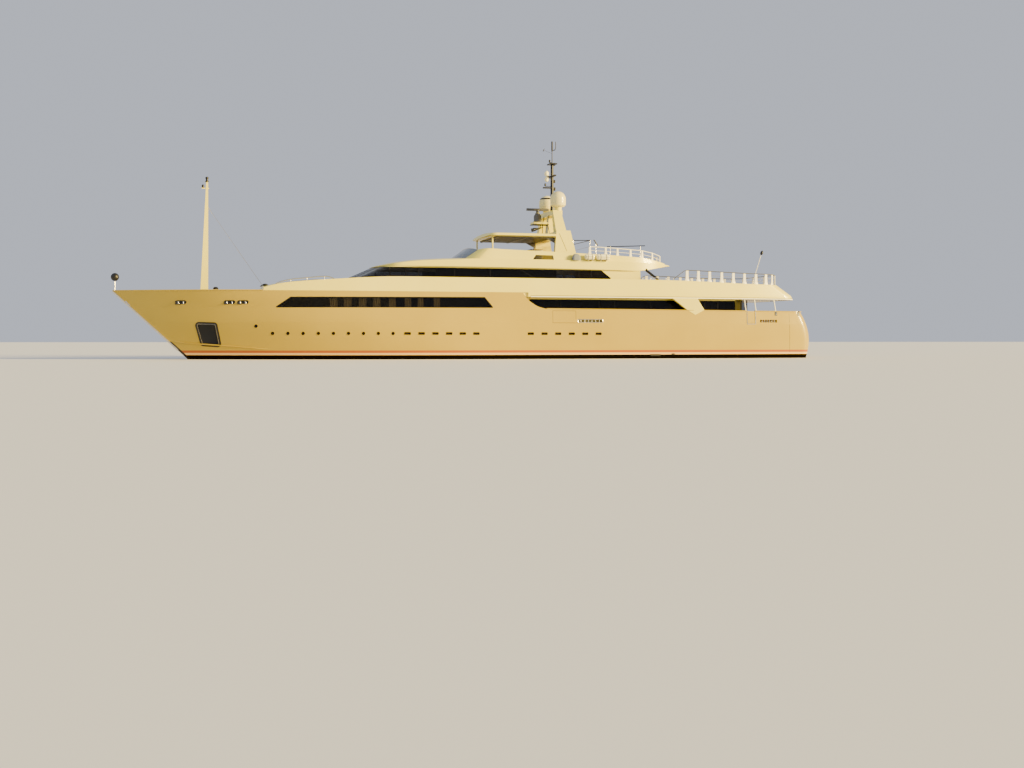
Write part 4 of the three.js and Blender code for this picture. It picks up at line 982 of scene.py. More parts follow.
coaming = cut(made(coaming_body(0, 8.0, coaming_top), "coaming"), [
    coaming_inside(), block(-0.5, 4, -3.12, 3.12, 7, 10),
    pushed(rounded(SLOT_WINDOW, 0.04), -6, 6, "y")])
sun_deck = made(roof_form(), "sun_deck_moulding")
cut(sun_deck, [cut(made(coaming_inside(), "tool"), [block(-17, 3, -5, 5, SUN_DECK, 10)], how="INTERSECT")])
cut(sun_deck, [coaming], how="UNION")
true_curve(sun_deck, made(roof_form(), "form"), made(coaming_body(0, 8.0, coaming_top), "form"),
           made(coaming_inside(), "form"))
fitted(sun_deck, cream_paint, "cream_paint", "sun_deck")

tinted_screen, tree = finish_named("grey_tinted_acrylic")
film = noise(tree, 1.5, Vector=placed(tree))
surfaced(tree, {
    "Base Color": blend(tree, film, "#5d6a76", "#76838d"), "Roughness": 0.06, "IOR": 1.49, "Alpha": 0.8})
SCREEN_PATH = smooth_path([(2.1, -3.1), (2.55, -2.1), (2.78, -0.9), (2.78, 0.9), (2.55, 2.1), (2.1, 3.1)], 5)


def screen_top(y):
    return lerp(9.38, 9.1, (y / 3.12) ** 2)


def screen_form():
    def place(row, out, level):
        x, y = row
        z = lerp(8.0, screen_top(y), level)
        return x - front_rake(x, z) - 0.06 * out, y, z

    return box_grid(SCREEN_PATH, [0, 1], steps(0, 1, 5), place)


screen = cut(made(screen_form(), "sun_deck_screen"), [roof_form()])
true_curve(screen, made(screen_form(), "form"))
fitted(screen, tinted_screen, "tinted_screen", "sun_deck_windscreen")

# Bridge house: cream aluminium with a steeply raked front, round at the corners, and one band of glass
# right round it from the aft quarter to the bow.
BAND = [(14, 6.3), (14, 7.56), (-9.9, 7.48), (-10.75, 6.82), (-9.95, 6.3)]
WALLS_OUT, WALLS_IN, PANES_OUT = (0, 5.561, 7.619, -13.4), (0.12, 5, 8, -13.28), (0.03, 6, 7.8, -13.3)
bridge = cut(made(bridge_body(*WALLS_OUT), "bridge_walls"), [
    bridge_body(*WALLS_IN), pushed(BAND, -6, 6, "y"),
    block(-14, -13, -1.6, 1.6, 5.65, 7.38), roof_form()])
true_curve(bridge, made(bridge_body(*WALLS_OUT), "form"), made(bridge_body(*WALLS_IN), "form"))
fitted(bridge, cream_paint, "cream_paint", "bridge_house")
band = cut(made(bridge_body(*PANES_OUT), "bridge_panes"), [bridge_body(0.09, 5.9, 7.9, -13.35)])
cut(band, [pushed(BAND, -6, 6, "y")], how="INTERSECT")
true_curve(band, made(bridge_body(*PANES_OUT), "form"))
fitted(band, tinted_glass, "dark_glass", "bridge_glass")
for name in ("lounge_door_port", "lounge_door_starboard"):
    dressed(name, tinted_glass, "dark_glass", 0.012, body=name)

# Window bars of the two houses, black enamelled, part the panes. Nearly black veneer panels stand back from
# the glass and paint the shade of the rooms behind it. Fine black joints outline a panel on the bulwark
# outside, and a black line aft of them paints the shade of a crease.
bars, shade_panels, joints_and_crease_shade = bmesh.new(), bmesh.new(), bmesh.new()
saloon_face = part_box("saloon_window_port")[1][1] / HALF
for side in (1, -1):
    for x in (-6.3, -9.75, -11.1, -14.37, -19.37, -20.6, -23.2):
        strip(bars, lambda x, z: saloon_face, side, ((x, 4.16), (x, 5.03)), 0.07, -0.075, -0.055)
    for x in (8.2, 6.9, 5.85, 2.84, -0.2, -6.59, -7.91, -9.0):
        strip(bars, lambda x, z: bridge_half(z) - 0.09, side, ((x, 6.3), (x, 7.54)), 0.08, -0.03, 0.002)
    strip(bars, lambda x, z: bridge_half(z) - 0.09, side, ((-2.66, 7.52), (-4.78, 6.3)), 0.08, -0.03, 0.002)
    # Nearly black veneer panels behind the house glass: painted shade of the rooms.
    block(-22.6, -3.6, *sided(side, 3.02, 3.08), 3.05, 5.1, shade_panels)
    block(-6.2, 4.2, *sided(side, 2.9, 2.96), 5.65, 7.5, shade_panels)
    # The first three strips are panel joints; the last two are a black line that paints the shade of a
    # crease.
    for ends in (((7.24, 6.66), (7.24, 6.13)), ((6.46, 6.66), (6.46, 6.13)), ((7.24, 6.13), (6.46, 6.13)),
                 ((-12.84, 6.16), (-15.02, 6.14)), ((-15.02, 6.14), (-15.48, 5.84))):
        strip(joints_and_crease_shade, upper_half, side, ends, 0.024, -0.01, 0.002)
for across in (-0.75, -0.25, 0.25, 0.75):
    tube(bars, [(bridge_front(z) - 0.1 + 0.5 * (1 - across ** 2), across * (bridge_half(z) - 1.6), z)
                for z in steps(6.4, 7.5, 5)], 0.045, 8)
block(6.2, 7.2, -2.0, 2.0, 5.66, 6.65, shade_panels)
small_panes = bmesh.new()
for side in (1, -1):
    row = fine(rounded(SLOT_WINDOW, 0.04), 0.4)
    middle = [[(x, side * (coaming_half(x, z) - deep), z) for x, z in row]
              for deep in (0.05, 0.09)]
    rows_of(small_panes, middle, closed=True, capped=True)
    block(-23.36, -22.2, *sided(side, saloon_face + 0.03, saloon_face + 0.045), 4.13, 5.06,
          small_panes)
fitted(made(small_panes, "slot_and_quarter_panes"), tinted_glass, "dark_glass")
fitted(made(bars, "window_bars"), black_enamel, "black_paint")
fitted(made(shade_panels, "cabin_shade_panels"), shade_veneer, "teak")
fitted(made(joints_and_crease_shade, "bulwark_joints_and_crease_shade"), black_enamel, "black_paint")

# Hardtop: thin cream moulding over the sun deck on two posts and the mast arch. Slats of satin grey anodised
# aluminium run fore and aft under it, and each post stands in a turned flange. Dark grey brackets at its aft
# corners paint the shade under the hardtop.
dressed("hardtop", cream_paint, "cream_paint", 0.03)
anodised = sprayed("grey_anodised_aluminium", "#4a4843", "#5b5952", 0.35, 0.5, 0.0)
slats_and_shade_brackets = bmesh.new()
for y in steps(-3.0, 3.0, 24):
    block(-6.0, -1.0, y - 0.045, y + 0.045, 10.2, 10.268, slats_and_shade_brackets)
for x in (-5.9, -3.5, -1.1):
    block(x - 0.08, x + 0.08, -3.1, 3.1, 10.16, 10.215, slats_and_shade_brackets)
# Brackets at the aft corners, dark grey as painted shade of the hardtop's underside.
for side in (1, -1):
    pushed([(-6.1, 10.26), (-5.1, 10.26), (-6.1, 9.75)], *sided(side, 3.02, 3.1), "y", slats_and_shade_brackets)
fitted(made(slats_and_shade_brackets, "hardtop_slats_and_shade_brackets"), anodised, "black_paint")


def turned(shape, profile, x, y, count=40):
    rows = [[(x + r * math.cos(2 * math.pi * k / count), y + r * math.sin(2 * math.pi * k / count), z)
             for k in range(count)] for r, z in profile]
    return rows_of(shape, rows, closed=True, capped=True)


flanges = bmesh.new()
for side in (1, -1):
    turned(flanges, [(0.16, 8.2), (0.16, 8.225), (0.1, 8.25), (0.085, 8.3), (0.072, 8.3)], -0.66, side * 2.8)
fitted(made(flanges, "hardtop_post_flanges"), stainless, "stainless")

# Mast arch: moulded cream legs, upper legs and beam that carry the domes, radar and pole mast. Under the
# radar hangs a dark grating with the two horns.
dressed("mast_arch", cream_paint, "cream_paint", 0.07)
dark_parts = bmesh.new()
block(-6.28, -4.86, -0.56, 0.56, 11.56, 11.62, dark_parts)
for side in (1, -1):
    tube(dark_parts, [(-5.75, side * 0.3, 11.56), (-5.75, side * 0.3, 11.36), (-5.62, side * 0.3, 11.3),
                      (-5.4, side * 0.3, 11.24), (-5.05, side * 0.3, 11.16), (-4.95, side * 0.3, 11.14)],
         [0.03, 0.035, 0.05, 0.07, 0.15, 0.17], 16)
    tube(dark_parts, [(-6.2, side * 0.75, 12.4), (-6.1, side * 0.8, 11.6), (-6.15, side * 1.1, 10.82)],
         0.03, 8)
    strip(dark_parts, lambda x, z: lerp(3.72, 3.3, (z - SUN_DECK) / 2.71), side,
          ((-6.35, 10.6), (-6.95, 9.1)), 0.03, -0.02, 0.006)
fitted(made(dark_parts, "radar_grating_and_horns"), black_enamel, "black_paint")
radar_foot = turned(bmesh.new(), [(0.36, 11.802), (0.36, 11.88), (0.33, 11.94), (0.33, 12.3), (0.3, 12.42),
                                  (0.22, 12.5), (0.215, 12.6)], -5.4, 0)
fitted(made(radar_foot, "radar_gearbox"), anodised, "black_paint")

# Satellite domes: two-part glass-fibre shells in glossy cream gelcoat, on round seats, with a black band high
# on the starboard one, and the radar's grey anodised scanner. White gelcoat serves smaller mouldings.
dome_gelcoat = sprayed("dome_gelcoat", "#e2d48c", "#eade9c", 0.2, 0.34, 0.2)
white_gelcoat = sprayed("white_gelcoat", "#efe6b0", "#f6efc4", 0.3, 0.42, 0.2)


def domed(radius, rise, base, step):
    return [(radius * math.cos(math.radians(a)), base + rise * math.sin(math.radians(a)))
            for a in range(0, 90, step)]


DOME_PROFILE = [(0.42, 13.001), (0.5, 13.01), (0.64, 13.14), (0.66, 13.22), (0.67, 13.3), (0.655, 13.31),
                (0.655, 13.34), (0.67, 13.35), *domed(0.67, 0.67, 13.68, 6), (0.01, 14.35)]
for side, name in SIDES:
    shell = made(turned(bmesh.new(), DOME_PROFILE, -6.74, side * 1.7), "dome_shell_" + name)
    fitted(shell, dome_gelcoat, "white_gelcoat", "dome_" + name)
dark_band = turned(bmesh.new(), [(0.6, 13.98), (0.612, 13.98), (0.54, 14.12), (0.5, 14.12)], -6.74, -1.7)
fitted(made(dark_band, "dome_band"), black_enamel, "black_paint")
dressed("radar_scanner", anodised, "white_gelcoat", 0.04, body="radar_scanner")

# Pole mast: black enamelled aluminium tube with cross arms. On it are navigation lamps, two small domes
# on a bracket, the forked aerial at the truck and the wind vane on its arm.
dressed("pole_mast", black_enamel, "black_paint", 0.02)
aerials, small_domes = bmesh.new(), bmesh.new()
tube(aerials, [(-6.72, 0, 18.0), (-6.72, 0, 18.2), (-6.72, 0, 18.9)], [0.05, 0.075, 0.075], 10)
tube(aerials, smooth_path([(-6.72, 0, 18.16), (-6.88, 0, 18.13), (-7.02, 0, 18.25), (-7.05, 0, 18.5),
                           (-7.05, 0, 18.9)], 4), 0.035, 8)
tube(aerials, [(-6.7, 0, 17.85), (-6.0, 0, 18.1)], 0.012, 6)
tube(aerials, [(-6.05, 0, 18.25), (-5.95, 0, 18.12), (-5.9, 0, 17.98)], [0.01, 0.045, 0.02], 8)
tube(aerials, [(-6.72, 0, 15.84), (-6.22, 0, 15.84)], 0.045, 8)
for x, z, r in ((-6.93, 16.8, 0.09), (-6.5, 17.05, 0.08), (-6.93, 15.3, 0.1), (-6.95, 14.62, 0.1),
                (-6.1, 14.98, 0.08)):
    turned(aerials, [(r * 0.7, z), (r, z + 0.03), (r, z + 0.2), (r * 0.8, z + 0.24)], x, 0, 16)
    block(min(x, -6.72), max(x, -6.72), -0.02, 0.02, z - 0.03, z + 0.02, aerials)
turned(small_domes, [(0.1, 15.88), (0.17, 15.9), (0.19, 16.05), *domed(0.19, 0.22, 16.1, 15), (0.01, 16.32)],
       -6.22, 0, 24)
turned(small_domes, [(0.02, 15.36), (0.12, 15.4), (0.17, 15.5), (0.17, 15.7), (0.1, 15.8)], -6.22, 0, 24)
fitted(made(aerials, "aerials_and_lamps"), black_enamel, "black_paint")
fitted(made(small_domes, "small_domes"), white_gelcoat, "white_gelcoat")

# Foremast and foredeck: a tapered cream aluminium mast with a black steaming light on top and one on its
# bracket, the stay, the day ball, the goose-neck vents and the mushroom vents of the coachroof.
dressed("foremast", cream_paint, "white_gelcoat", 0.03)
lanterns = bmesh.new()
turned(lanterns, [(0.1, 14.4), (0.14, 14.42), (0.14, 14.5), (0.1, 14.52), (0.1, 14.68), (0.14, 14.7),
                  (0.14, 14.78), (0.05, 14.84)], 22.56, 0, 20)
turned(lanterns, [(0.06, 13.93), (0.1, 13.96), (0.1, 14.14), (0.05, 14.2)], 22.88, 0, 20)
turned(lanterns, [(0.16, 4.29), (0.16, 4.34), (0.09, 4.36), (0.09, 5.62), (0.2, 5.66), (0.22, 5.76),
                  (0.12, 5.86)], 21.9, 0.9, 20)
for side in (1, -1):
    turned(lanterns, [(0.13, 5.75), (0.1, 5.98), (0.24, 6.02), (0.25, 6.08), (0.1, 6.15)],
           18.0, side * 1.3, 20)
fitted(made(lanterns, "lanterns_and_vents"), black_enamel, "black_paint")
dressed("day_ball", black_enamel, "black_paint", 0.01)
for name in ("forestay", "jackstaff"):
    dressed(name, stainless, "stainless", 0.004)

# Coachroof grab rails: one bent stainless tube a side, its ends let into the roof, on three short legs with
# round foot flanges.
def coach_top(x, y):
    return along(sorted(COACH, reverse=True), x) - COACH_CAMBER * (y / coach_half(x)) ** 2


for side, name in SIDES:
    grab = bmesh.new()
    run = [(17.45, 2.88), (17.1, 2.9), (16.1, 2.95), (14.8, 3.0), (13.4, 3.05), (12.85, 3.06), (12.5, 3.07)]
    lift = [-0.02, 0.16, 0.28, 0.31, 0.33, 0.2, -0.02]
    tube(grab, smooth_path([(x, side * y, coach_top(x, y) + up) for (x, y), up in zip(run, lift)]), 0.042, 10)
    for x, y in run[2:5]:
        top = coach_top(x, y)
        tube(grab, [(x, side * y, top - 0.02), (x, side * y, top + 0.29)], 0.02, 8)
        turned(grab, [(0.06, top - 0.02), (0.06, top + 0.012), (0.03, top + 0.02)], x, side * y, 14)
    fitted(made(grab, "grab_rail_" + name), stainless, "stainless", "coachroof_rail_" + name)

# Guard rails of the two open decks: flat white powder-coated stanchions, broad at the foot, with a round
# handrail and thinner rods through them. The upper deck's handrail is a stainless tube drawn in the dark grey
# anodised finish as painted shade.
POST_SECTION = [(-1, -0.4), (-0.8, -1), (0.8, -1), (1, -0.4), (1, 0.4), (0.8, 1), (-0.8, 1), (-1, 0.4)]
UPPER_RAIL_X = [-17.35, -18.42, -19.49, -20.65, -21.78, -22.87, -24.0, -25.0, -25.7]
SUN_RAIL_X = [-8.9, -10.33, -11.41, -12.62, -13.75, -14.8]


def stanchions(shape, path, tall, foot, head, thick):
    for n, point in enumerate(path):
        ahead = Vector(path[min(n + 1, len(path) - 1)]) - Vector(path[max(n - 1, 0)])
        ahead = Vector((ahead.x, ahead.y, 0)).normalized()
        out = Vector((ahead.y, -ahead.x, 0))
        rows = []
        for up, wide in ((-0.04, foot), (0.06, foot), (0.2, lerp(foot, head, 0.7)), (tall * 0.6, head),
                         (tall, head)):
            base = Vector(point) + Vector((0, 0, up))
            rows.append([base + ahead * a * wide / 2 + out * b * thick / 2 for a, b in POST_SECTION])
        rows_of(shape, rows, closed=True, capped=True)


def handrails(shape, path, rows):
    for up, radius in rows:
        tube(shape, [(x, y, z + up) for x, y, z in path], radius, 10)


upper_path = both_sides([(x, upper_half(x, 6.5) - 0.13, along(UPPER_TOP, x)) for x in UPPER_RAIL_X]
                        + [(-26.4, 3.2, 6.4), (-26.4, 1.1, 6.4)])
sun_path = both_sides([(x, coaming_half(x, coaming_top(x)) - 0.07, coaming_top(x)) for x in SUN_RAIL_X]
                      + [(-15.9, 2.2, 8.28), (-16.1, 0.9, 8.28)])
white_posts, sun_rods, upper_rods, top_rail = bmesh.new(), bmesh.new(), bmesh.new(), bmesh.new()
stanchions(white_posts, upper_path, 0.89, 0.42, 0.25, 0.07)
sun_posts = bmesh.new()
stanchions(sun_posts, sun_path, 0.6, 0.26, 0.17, 0.06)
handrails(sun_rods, sun_path, ((0.3, 0.016), (0.62, 0.03)))
handrails(upper_rods, upper_path, ((0.25, 0.014), (0.55, 0.016)))
handrails(top_rail, upper_path, ((0.92, 0.035),))
for side in (1, -1):
    y = side * (upper_half(-17, 6.5) - 0.13)
    tube(top_rail, [(-17.3, y, 7.54), (-17.1, y, 7.5), (-16.2, y, 6.86), (-16.1, y, 6.66)], 0.03, 10)
    tube(upper_rods, [(-13.2, side * (upper_half(-13, 6.5) - 0.13), 6.86), (-16.2, y, 6.86)], 0.022, 8)
    for x in steps(-13.25, -16.1, 4):
        inner = side * (upper_half(x, 6.5) - 0.13)
        tube(upper_rods, [(x, inner, 6.62), (x, inner, 6.86)], 0.018, 8)
fitted(made(white_posts, "upper_rail_stanchions"), white_coat, "white_gelcoat", "upper_deck_rail")
fitted(made(sun_posts, "sun_rail_stanchions"), white_coat, "white_gelcoat", "sun_deck_rail")
fitted(made(sun_rods, "sun_rail_rods"), white_coat, "white_gelcoat")
fitted(made(upper_rods, "upper_rail_rods"), stainless, "stainless")
# Upper handrail: a stainless tube drawn dark grey, painted shade.
fitted(made(top_rail, "upper_handrail"), anodised, "black_paint")
dressed("ensign_staff", white_coat, "white_gelcoat", 0.004)
truck = tube(bmesh.new(), [(-26.66, 0, 9.33), (-26.69, 0, 9.42), (-26.73, 0, 9.53), (-26.77, 0, 9.66),
                           (-26.8, 0, 9.74)], [0.04, 0.11, 0.14, 0.11, 0.03], 14)
fitted(made(truck, "staff_truck"), black_enamel, "black_paint")

# Life rafts: cream glass-fibre canisters in two halves, banded shut, two a side in steel cradles on the
# edge of the sun deck, aft of the davit hoods.
DOMED_END = [(0.0, 0.1), (0.02, 0.17), (0.06, 0.215), (0.12, 0.24), (0.2, 0.25)]
CRADLE = [(-0.3, 8.2), (-0.3, 8.42), (-0.2, 8.36), (0, 8.3), (0.2, 8.36), (0.25, 8.4), (0.25, 8.3), (0, 8.22)]
canisters, bands, cradles = bmesh.new(), bmesh.new(), bmesh.new()
for side in (1, -1):
    for fore, aft in ((-8.3, -9.15), (-9.35, -10.5)):
        y, z = side * 4.3, 8.58
        path = [(fore - d, y, z) for d, _ in DOMED_END] + [(aft + d, y, z) for d, _ in DOMED_END[::-1]]
        tube(canisters, path, [r for _, r in DOMED_END + DOMED_END[::-1]], 28)
        block(aft + 0.03, fore - 0.03, *sorted((y - side * 0.1, y + side * 0.262)),
              z - 0.014, z + 0.014, bands)
        for x in (lerp(fore, aft, 0.28), lerp(fore, aft, 0.72)):
            tube(bands, [(x - 0.02, y, z), (x + 0.02, y, z)], 0.259, 28)
            pushed([(y + side * out, up) for out, up in CRADLE], x - 0.03, x + 0.03, "x", cradles)
fitted(made(canisters, "life_raft_canisters"), white_gelcoat, "white_gelcoat")
fitted(made(bands, "life_raft_bands"), black_enamel, "black_paint")
fitted(made(cradles, "life_raft_cradles"), stainless, "stainless")

# Small fittings of the decks: screen rail, raked struts of the sun deck's overhang, the folding awning frame
# and poles, bollards, aft fairleads and the overboard slots in the boot-top. The struts are black as painted
# shade, and black strips on the hull paint the shade inside the aft fairlead openings.
AWNING_HALF = 2.5
BOLLARD = [(0.1, 0.04), (0.085, 0.08), (0.085, 0.34), (0.13, 0.38), (0.13, 0.42), (0.06, 0.45)]
fittings, dark_fittings_and_shade = bmesh.new(), bmesh.new()
tube(fittings, [(x - front_rake(x, screen_top(y)) - 0.03, y, screen_top(y) + 0.01) for x, y in SCREEN_PATH],
     0.032, 8)
for side in (1, -1):
    # Raked struts of the overhang, black as painted shade.
    tube(dark_fittings_and_shade, [(-13.9, side * 3.75, 7.72), (-14.05, side * 3.9, 7.5), (-14.6, side * 4.8, 6.8),
                         (-14.68, side * 4.88, 6.68)], [0.13, 0.11, 0.1, 0.13], 10)
    y = side * AWNING_HALF
    for x in (-7.85, -9.36):
        tube(fittings, [(x, y, SUN_TEAK), (x, y, 10.1)], 0.022, 8)
    tube(dark_fittings_and_shade, [(-7.8, y, 10.1), (-9.4, y, 10.13)], 0.035, 8)
    tube(fittings, [(-7.85, y, 9.2), (-9.36, y, 9.6)], 0.014, 6)
    for x in (-25.74, -28.02):
        # Black strip on the hull: painted shade inside the fairlead opening.
        strip(dark_fittings_and_shade, half_breadth, side, ((x, 3.7), (x, 4.05)), 0.24, -0.01, 0.012)
        face = side * (half_breadth(x, 4) + 0.01)
        tube(fittings, [(x, face, 3.73), (x, face, 4.02)], 0.03, 8)
    strip(dark_fittings_and_shade, half_breadth, side, ((-13.89, 0.3), (-14.8, 0.3)), 0.16, -0.03, 0.03)
    strip(dark_fittings_and_shade, half_breadth, side, ((-15.85, 0.37), (-16.1, 0.37)), 0.14, -0.03, 0.03)
    for x, z, back in ((27.2, 4.29, 0.5), (21.4, 4.29, 0.45), (-26.6, 3.01, 0.5)):
        y = side * (half_breadth(x, z + 0.3) - WALL - back)
        block(x - 0.42, x + 0.42, *sorted((y - side * 0.13, y + side * 0.13)), z, z + 0.05, fittings)
        for post in (-0.24, 0.24):
            turned(fittings, [(r, z + up) for r, up in BOLLARD], x + post, y, 18)
for x, z in ((-7.8, 10.1), (-9.4, 10.13)):
    tube(dark_fittings_and_shade, [(x, -AWNING_HALF, z), (x, AWNING_HALF, z)], 0.03, 8)
tube(dark_fittings_and_shade, [(-12.92, -3.3, 10.07), (-16.1, -1.9, 10.12)], 0.04, 8)
for x, y in ((-13.2, -3.18), (-15.7, -2.08)):
    tube(fittings, [(x, y, SUN_TEAK), (x, y, 10.08)], 0.025, 8)
tube(dark_fittings_and_shade, [(-9.75, 2.4, 10.2), (-10.1, 2.4, 9.72)], 0.05, 8)
tube(fittings, [(-9.93, 2.4, SUN_TEAK), (-9.93, 2.4, 9.95)], 0.022, 8)
fitted(made(fittings, "stainless_deck_fittings"), stainless, "stainless")
fitted(made(dark_fittings_and_shade, "dark_deck_fittings_and_painted_shade"), black_enamel, "black_paint")

# Teak decks: matt planks laid fore and aft, each of its own shade, with black caulking sunk between.
# Real planks are 60 mm wide, so at half size 30; they are drawn 60 mm wide so that the joints show.
PLANK, BUTT, SEAM_SHARE, BUTT_SHARE = 0.06, 1.4, 0.13, 0.006
teak, tree = finish_named("laid_teak_planking")
place = placed(tree)
split = add(tree, "SeparateXYZ", {}, {"Vector": place})
across = maths(tree, "DIVIDE", split.outputs["Y"], PLANK)
shade = add(tree, "TexWhiteNoise", {"noise_dimensions": "1D"}, {
    "W": maths(tree, "FLOOR", across)}).outputs["Value"]
butts = maths(tree, "DIVIDE", maths(tree, "MULTIPLY_ADD", shade, 1.6, split.outputs["X"]), BUTT)
gaps = [maths(tree, "LESS_THAN", maths(tree, "FRACT", value), share)
        for value, share in ((across, SEAM_SHARE), (butts, BUTT_SHARE))]
caulk = maths(tree, "MAXIMUM", *gaps)
grain = noise(tree, 6.0, 6.0, Vector=stretched(tree, place, (1, 12, 12)))
plank = add(tree, "Mix", {"data_type": "RGBA", "blend_type": "MULTIPLY"}, {
    0: 0.3, 6: blend(tree, grain, "#a38760", "#cbb083"), 7: shade}).outputs[2]
surfaced(tree, {
    "Base Color": blend(tree, caulk, plank, "#17120d"), "Roughness": 0.62,
    "Normal": rippled(tree, caulk, 0.4, 0.004, invert=True)})
for name in ("main_deck_teak", "fore_deck_teak", "upper_deck_teak", "sun_deck_teak"):
    dressed(name, teak, "teak", 0.006)

# Running gear: propellers and brackets of cast nickel-aluminium bronze, which shines unevenly as it is ground
# by hand, on stainless shafts. Rudders and stabiliser fins wear matt black antifouling.
bronze, tree = finish_named("cast_nickel_aluminium_bronze")
cast = noise(tree, 14.0, 5.0, Vector=placed(tree))
surfaced(tree, {
    "Base Color": blend(tree, cast, "#a67a3a", "#c69a55"), "Metallic": 1.0,
    "Roughness": ranged(tree, cast, 0.22, 0.45)})
antifouling = sprayed("antifouling_paint", "#15100a", "#211a10", 0.6, 0.8, 0.0)


def blade_point(t, along_chord, face):
    r = lerp(0.12, 0.92, t)
    chord = along([(1.0, 0.3), (0.92, 0.5), (0.667, 0.74), (0.333, 0.62), (0, 0.34)], t) * along_chord
    pitch = math.atan2(0.55, r * 1.1 + 0.15)
    thick = face * lerp(0.045, 0.015, t) * math.sqrt(max(0.02, 1 - (2 * along_chord) ** 2))
    return Vector((chord * math.sin(pitch) + thick * math.cos(pitch),
                   chord * math.cos(pitch) - thick * math.sin(pitch), r))


for side, name in SIDES:
    low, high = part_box("propeller_" + name)
    middle = Vector((low[0] / HALF + 0.3, (low[1] + high[1]) / 2 / HALF, (low[2] + high[2]) / 2 / HALF))
    screw = tube(bmesh.new(), [middle + Vector((x, 0, 0)) for x in (-0.3, -0.27, -0.18, 0.05, 0.22, 0.26)],
                 [0.04, 0.09, 0.14, 0.19, 0.2, 0.19], 32)
    for turn in range(4):
        a = math.radians(90 * turn)

        def place(t, s, face):
            point = blade_point(t, s, face)
            y = point.y * math.cos(a) - point.z * math.sin(a)
            z = point.y * math.sin(a) + point.z * math.cos(a)
            return middle + Vector((point.x, side * y, z))

        box_grid(steps(0, 1, 14), steps(-0.5, 0.5, 12), [-1, 1], place, screw)
    fitted(made(screw, "screw_" + name, 50), bronze, "bronze", "propeller_" + name, body="propeller_" + name)
    dressed("shaft_bracket_" + name, bronze, "bronze", 0.01)
    dressed("shaft_" + name, stainless, "stainless", 0.01, body="propeller_" + name)
    dressed("rudder_" + name, antifouling, "antifouling", 0.03, body="rudder_" + name)
    dressed("fin_" + name, antifouling, "antifouling", 0.03, body="fin_" + name)

# Windlasses: white coated gearboxes, each with a flanged stainless drum on its cross shaft. The starboard
# anchor, of the same polished steel, is stowed in its pocket.
for side, name in SIDES:
    dressed("windlass_" + name, white_coat, "white_gelcoat", 0.06)
    low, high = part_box("windlass_drum_" + name)
    x, z = (low[0] + high[0]) / 2 / HALF, (low[2] + high[2]) / 2 / HALF
    profile = [(0.6, 0.075), (0.79, 0.075), (0.8, 0.24), (0.84, 0.24), (0.86, 0.17), (0.98, 0.145),
               (1.07, 0.17), (1.085, 0.235), (1.12, 0.235), (1.12, 0.06)]
    drum = tube(bmesh.new(), [(x, side * y, z) for y, _ in profile], [r for _, r in profile], 32)
    fitted(made(drum, "warping_drum_" + name), stainless, "stainless", "windlass_drum_" + name,
           body="windlass_drum_" + name)
dressed("anchor_starboard", stainless, "stainless", 0.05)

# Furniture of the open decks: teak dining table, white moulded bar with a teak top and stools, and woven
# armchairs. Round rattan strands are 6 mm wide in truth, so 3 at half size, and drawn about 13 mm wide.
rattan, tree = finish_named("woven_brown_rattan")
place = placed(tree)
weave = maths(tree, "MULTIPLY", *[waves(tree, place, way, 12.0, 0.6) for way in ("X", "Z")])
surfaced(tree, {
    "Base Color": blend(tree, weave, "#3a2415", "#8d6340"), "Roughness": 0.55,
    "Normal": rippled(tree, weave, 0.5, 0.006)})
dressed("upper_deck_table", teak, "teak", 0.03)
dressed("sun_deck_bar", white_gelcoat, "white_gelcoat", 0.05)
bar_top = made(pushed(oval(-4.9, 0, 1.12, 3.3, 0.1), 9.3, 9.345, "z"), "bar_top")
fitted(bar_top, teak, "teak")
stools, chairs = bmesh.new(), bmesh.new()
for y in (-1.1, 0, 1.1):
    turned(stools, [(0.2, 8.2), (0.2, 8.22), (0.05, 8.26), (0.035, 8.4), (0.035, 8.85), (0.12, 8.9),
                    (0.19, 8.92), (0.2, 8.96), (0.17, 9.0)], -3.85, y, 24)
fitted(made(stools, "bar_stools"), stainless, "stainless")
CHAIRS = ([(x, side * 1.15, side * 90) for x in (-19.5, -18.5, -17.5) for side in (1, -1)]
          + [(-21.9, 2.9, 60), (-21.9, -2.9, -60), (-22.9, 1.2, 170), (-22.9, -1.2, 190)])
for x0, y0, facing in CHAIRS:
    a = math.radians(facing)

    def around(x, y, z):
        return x0 + x * math.cos(a) - y * math.sin(a), y0 + x * math.sin(a) + y * math.cos(a), z

    turns = [math.radians(t) for t in steps(-125, 125, 20)]
    box_grid(turns, [0, 1], [5.62, 5.9, 6.1, 6.42], lambda t, deep, z: around(
        math.cos(t) * (0.36 - 0.05 * deep) + 0.03 * (z - 5.6), math.sin(t) * (0.36 - 0.05 * deep),
        min(z, 6.42 - 0.2 * abs(math.sin(t / 2)) ** 2)), chairs)
    box_grid([-0.27, 0, 0.27], [-0.27, 0, 0.27], [5.9, 5.98], around, chairs)
fitted(made(chairs, "rattan_chairs"), rattan, "teak")

# Cushions: woven acrylic covers, matt with fine ribs drawn coarse, over foam. The fixed seats stand on white
# moulded plinths. One seat, one back and one sunpad cushion are blown up as cloth from slightly smaller
# blocks and copied into place.
canvas, tree = finish_named("woven_acrylic_canvas")
place = placed(tree)
weave = maths(tree, "ADD", *[waves(tree, place, way, 60.0, 0.4) for way in ("X", "Y")])
surfaced(tree, {
    "Base Color": blend(tree, noise(tree, 2.5, 3.0, Vector=place), "#cdb083", "#e2c9a2"), "Roughness": 0.9,
    "Sheen Weight": 0.25, "Normal": rippled(tree, weave, 0.25, 0.003)})


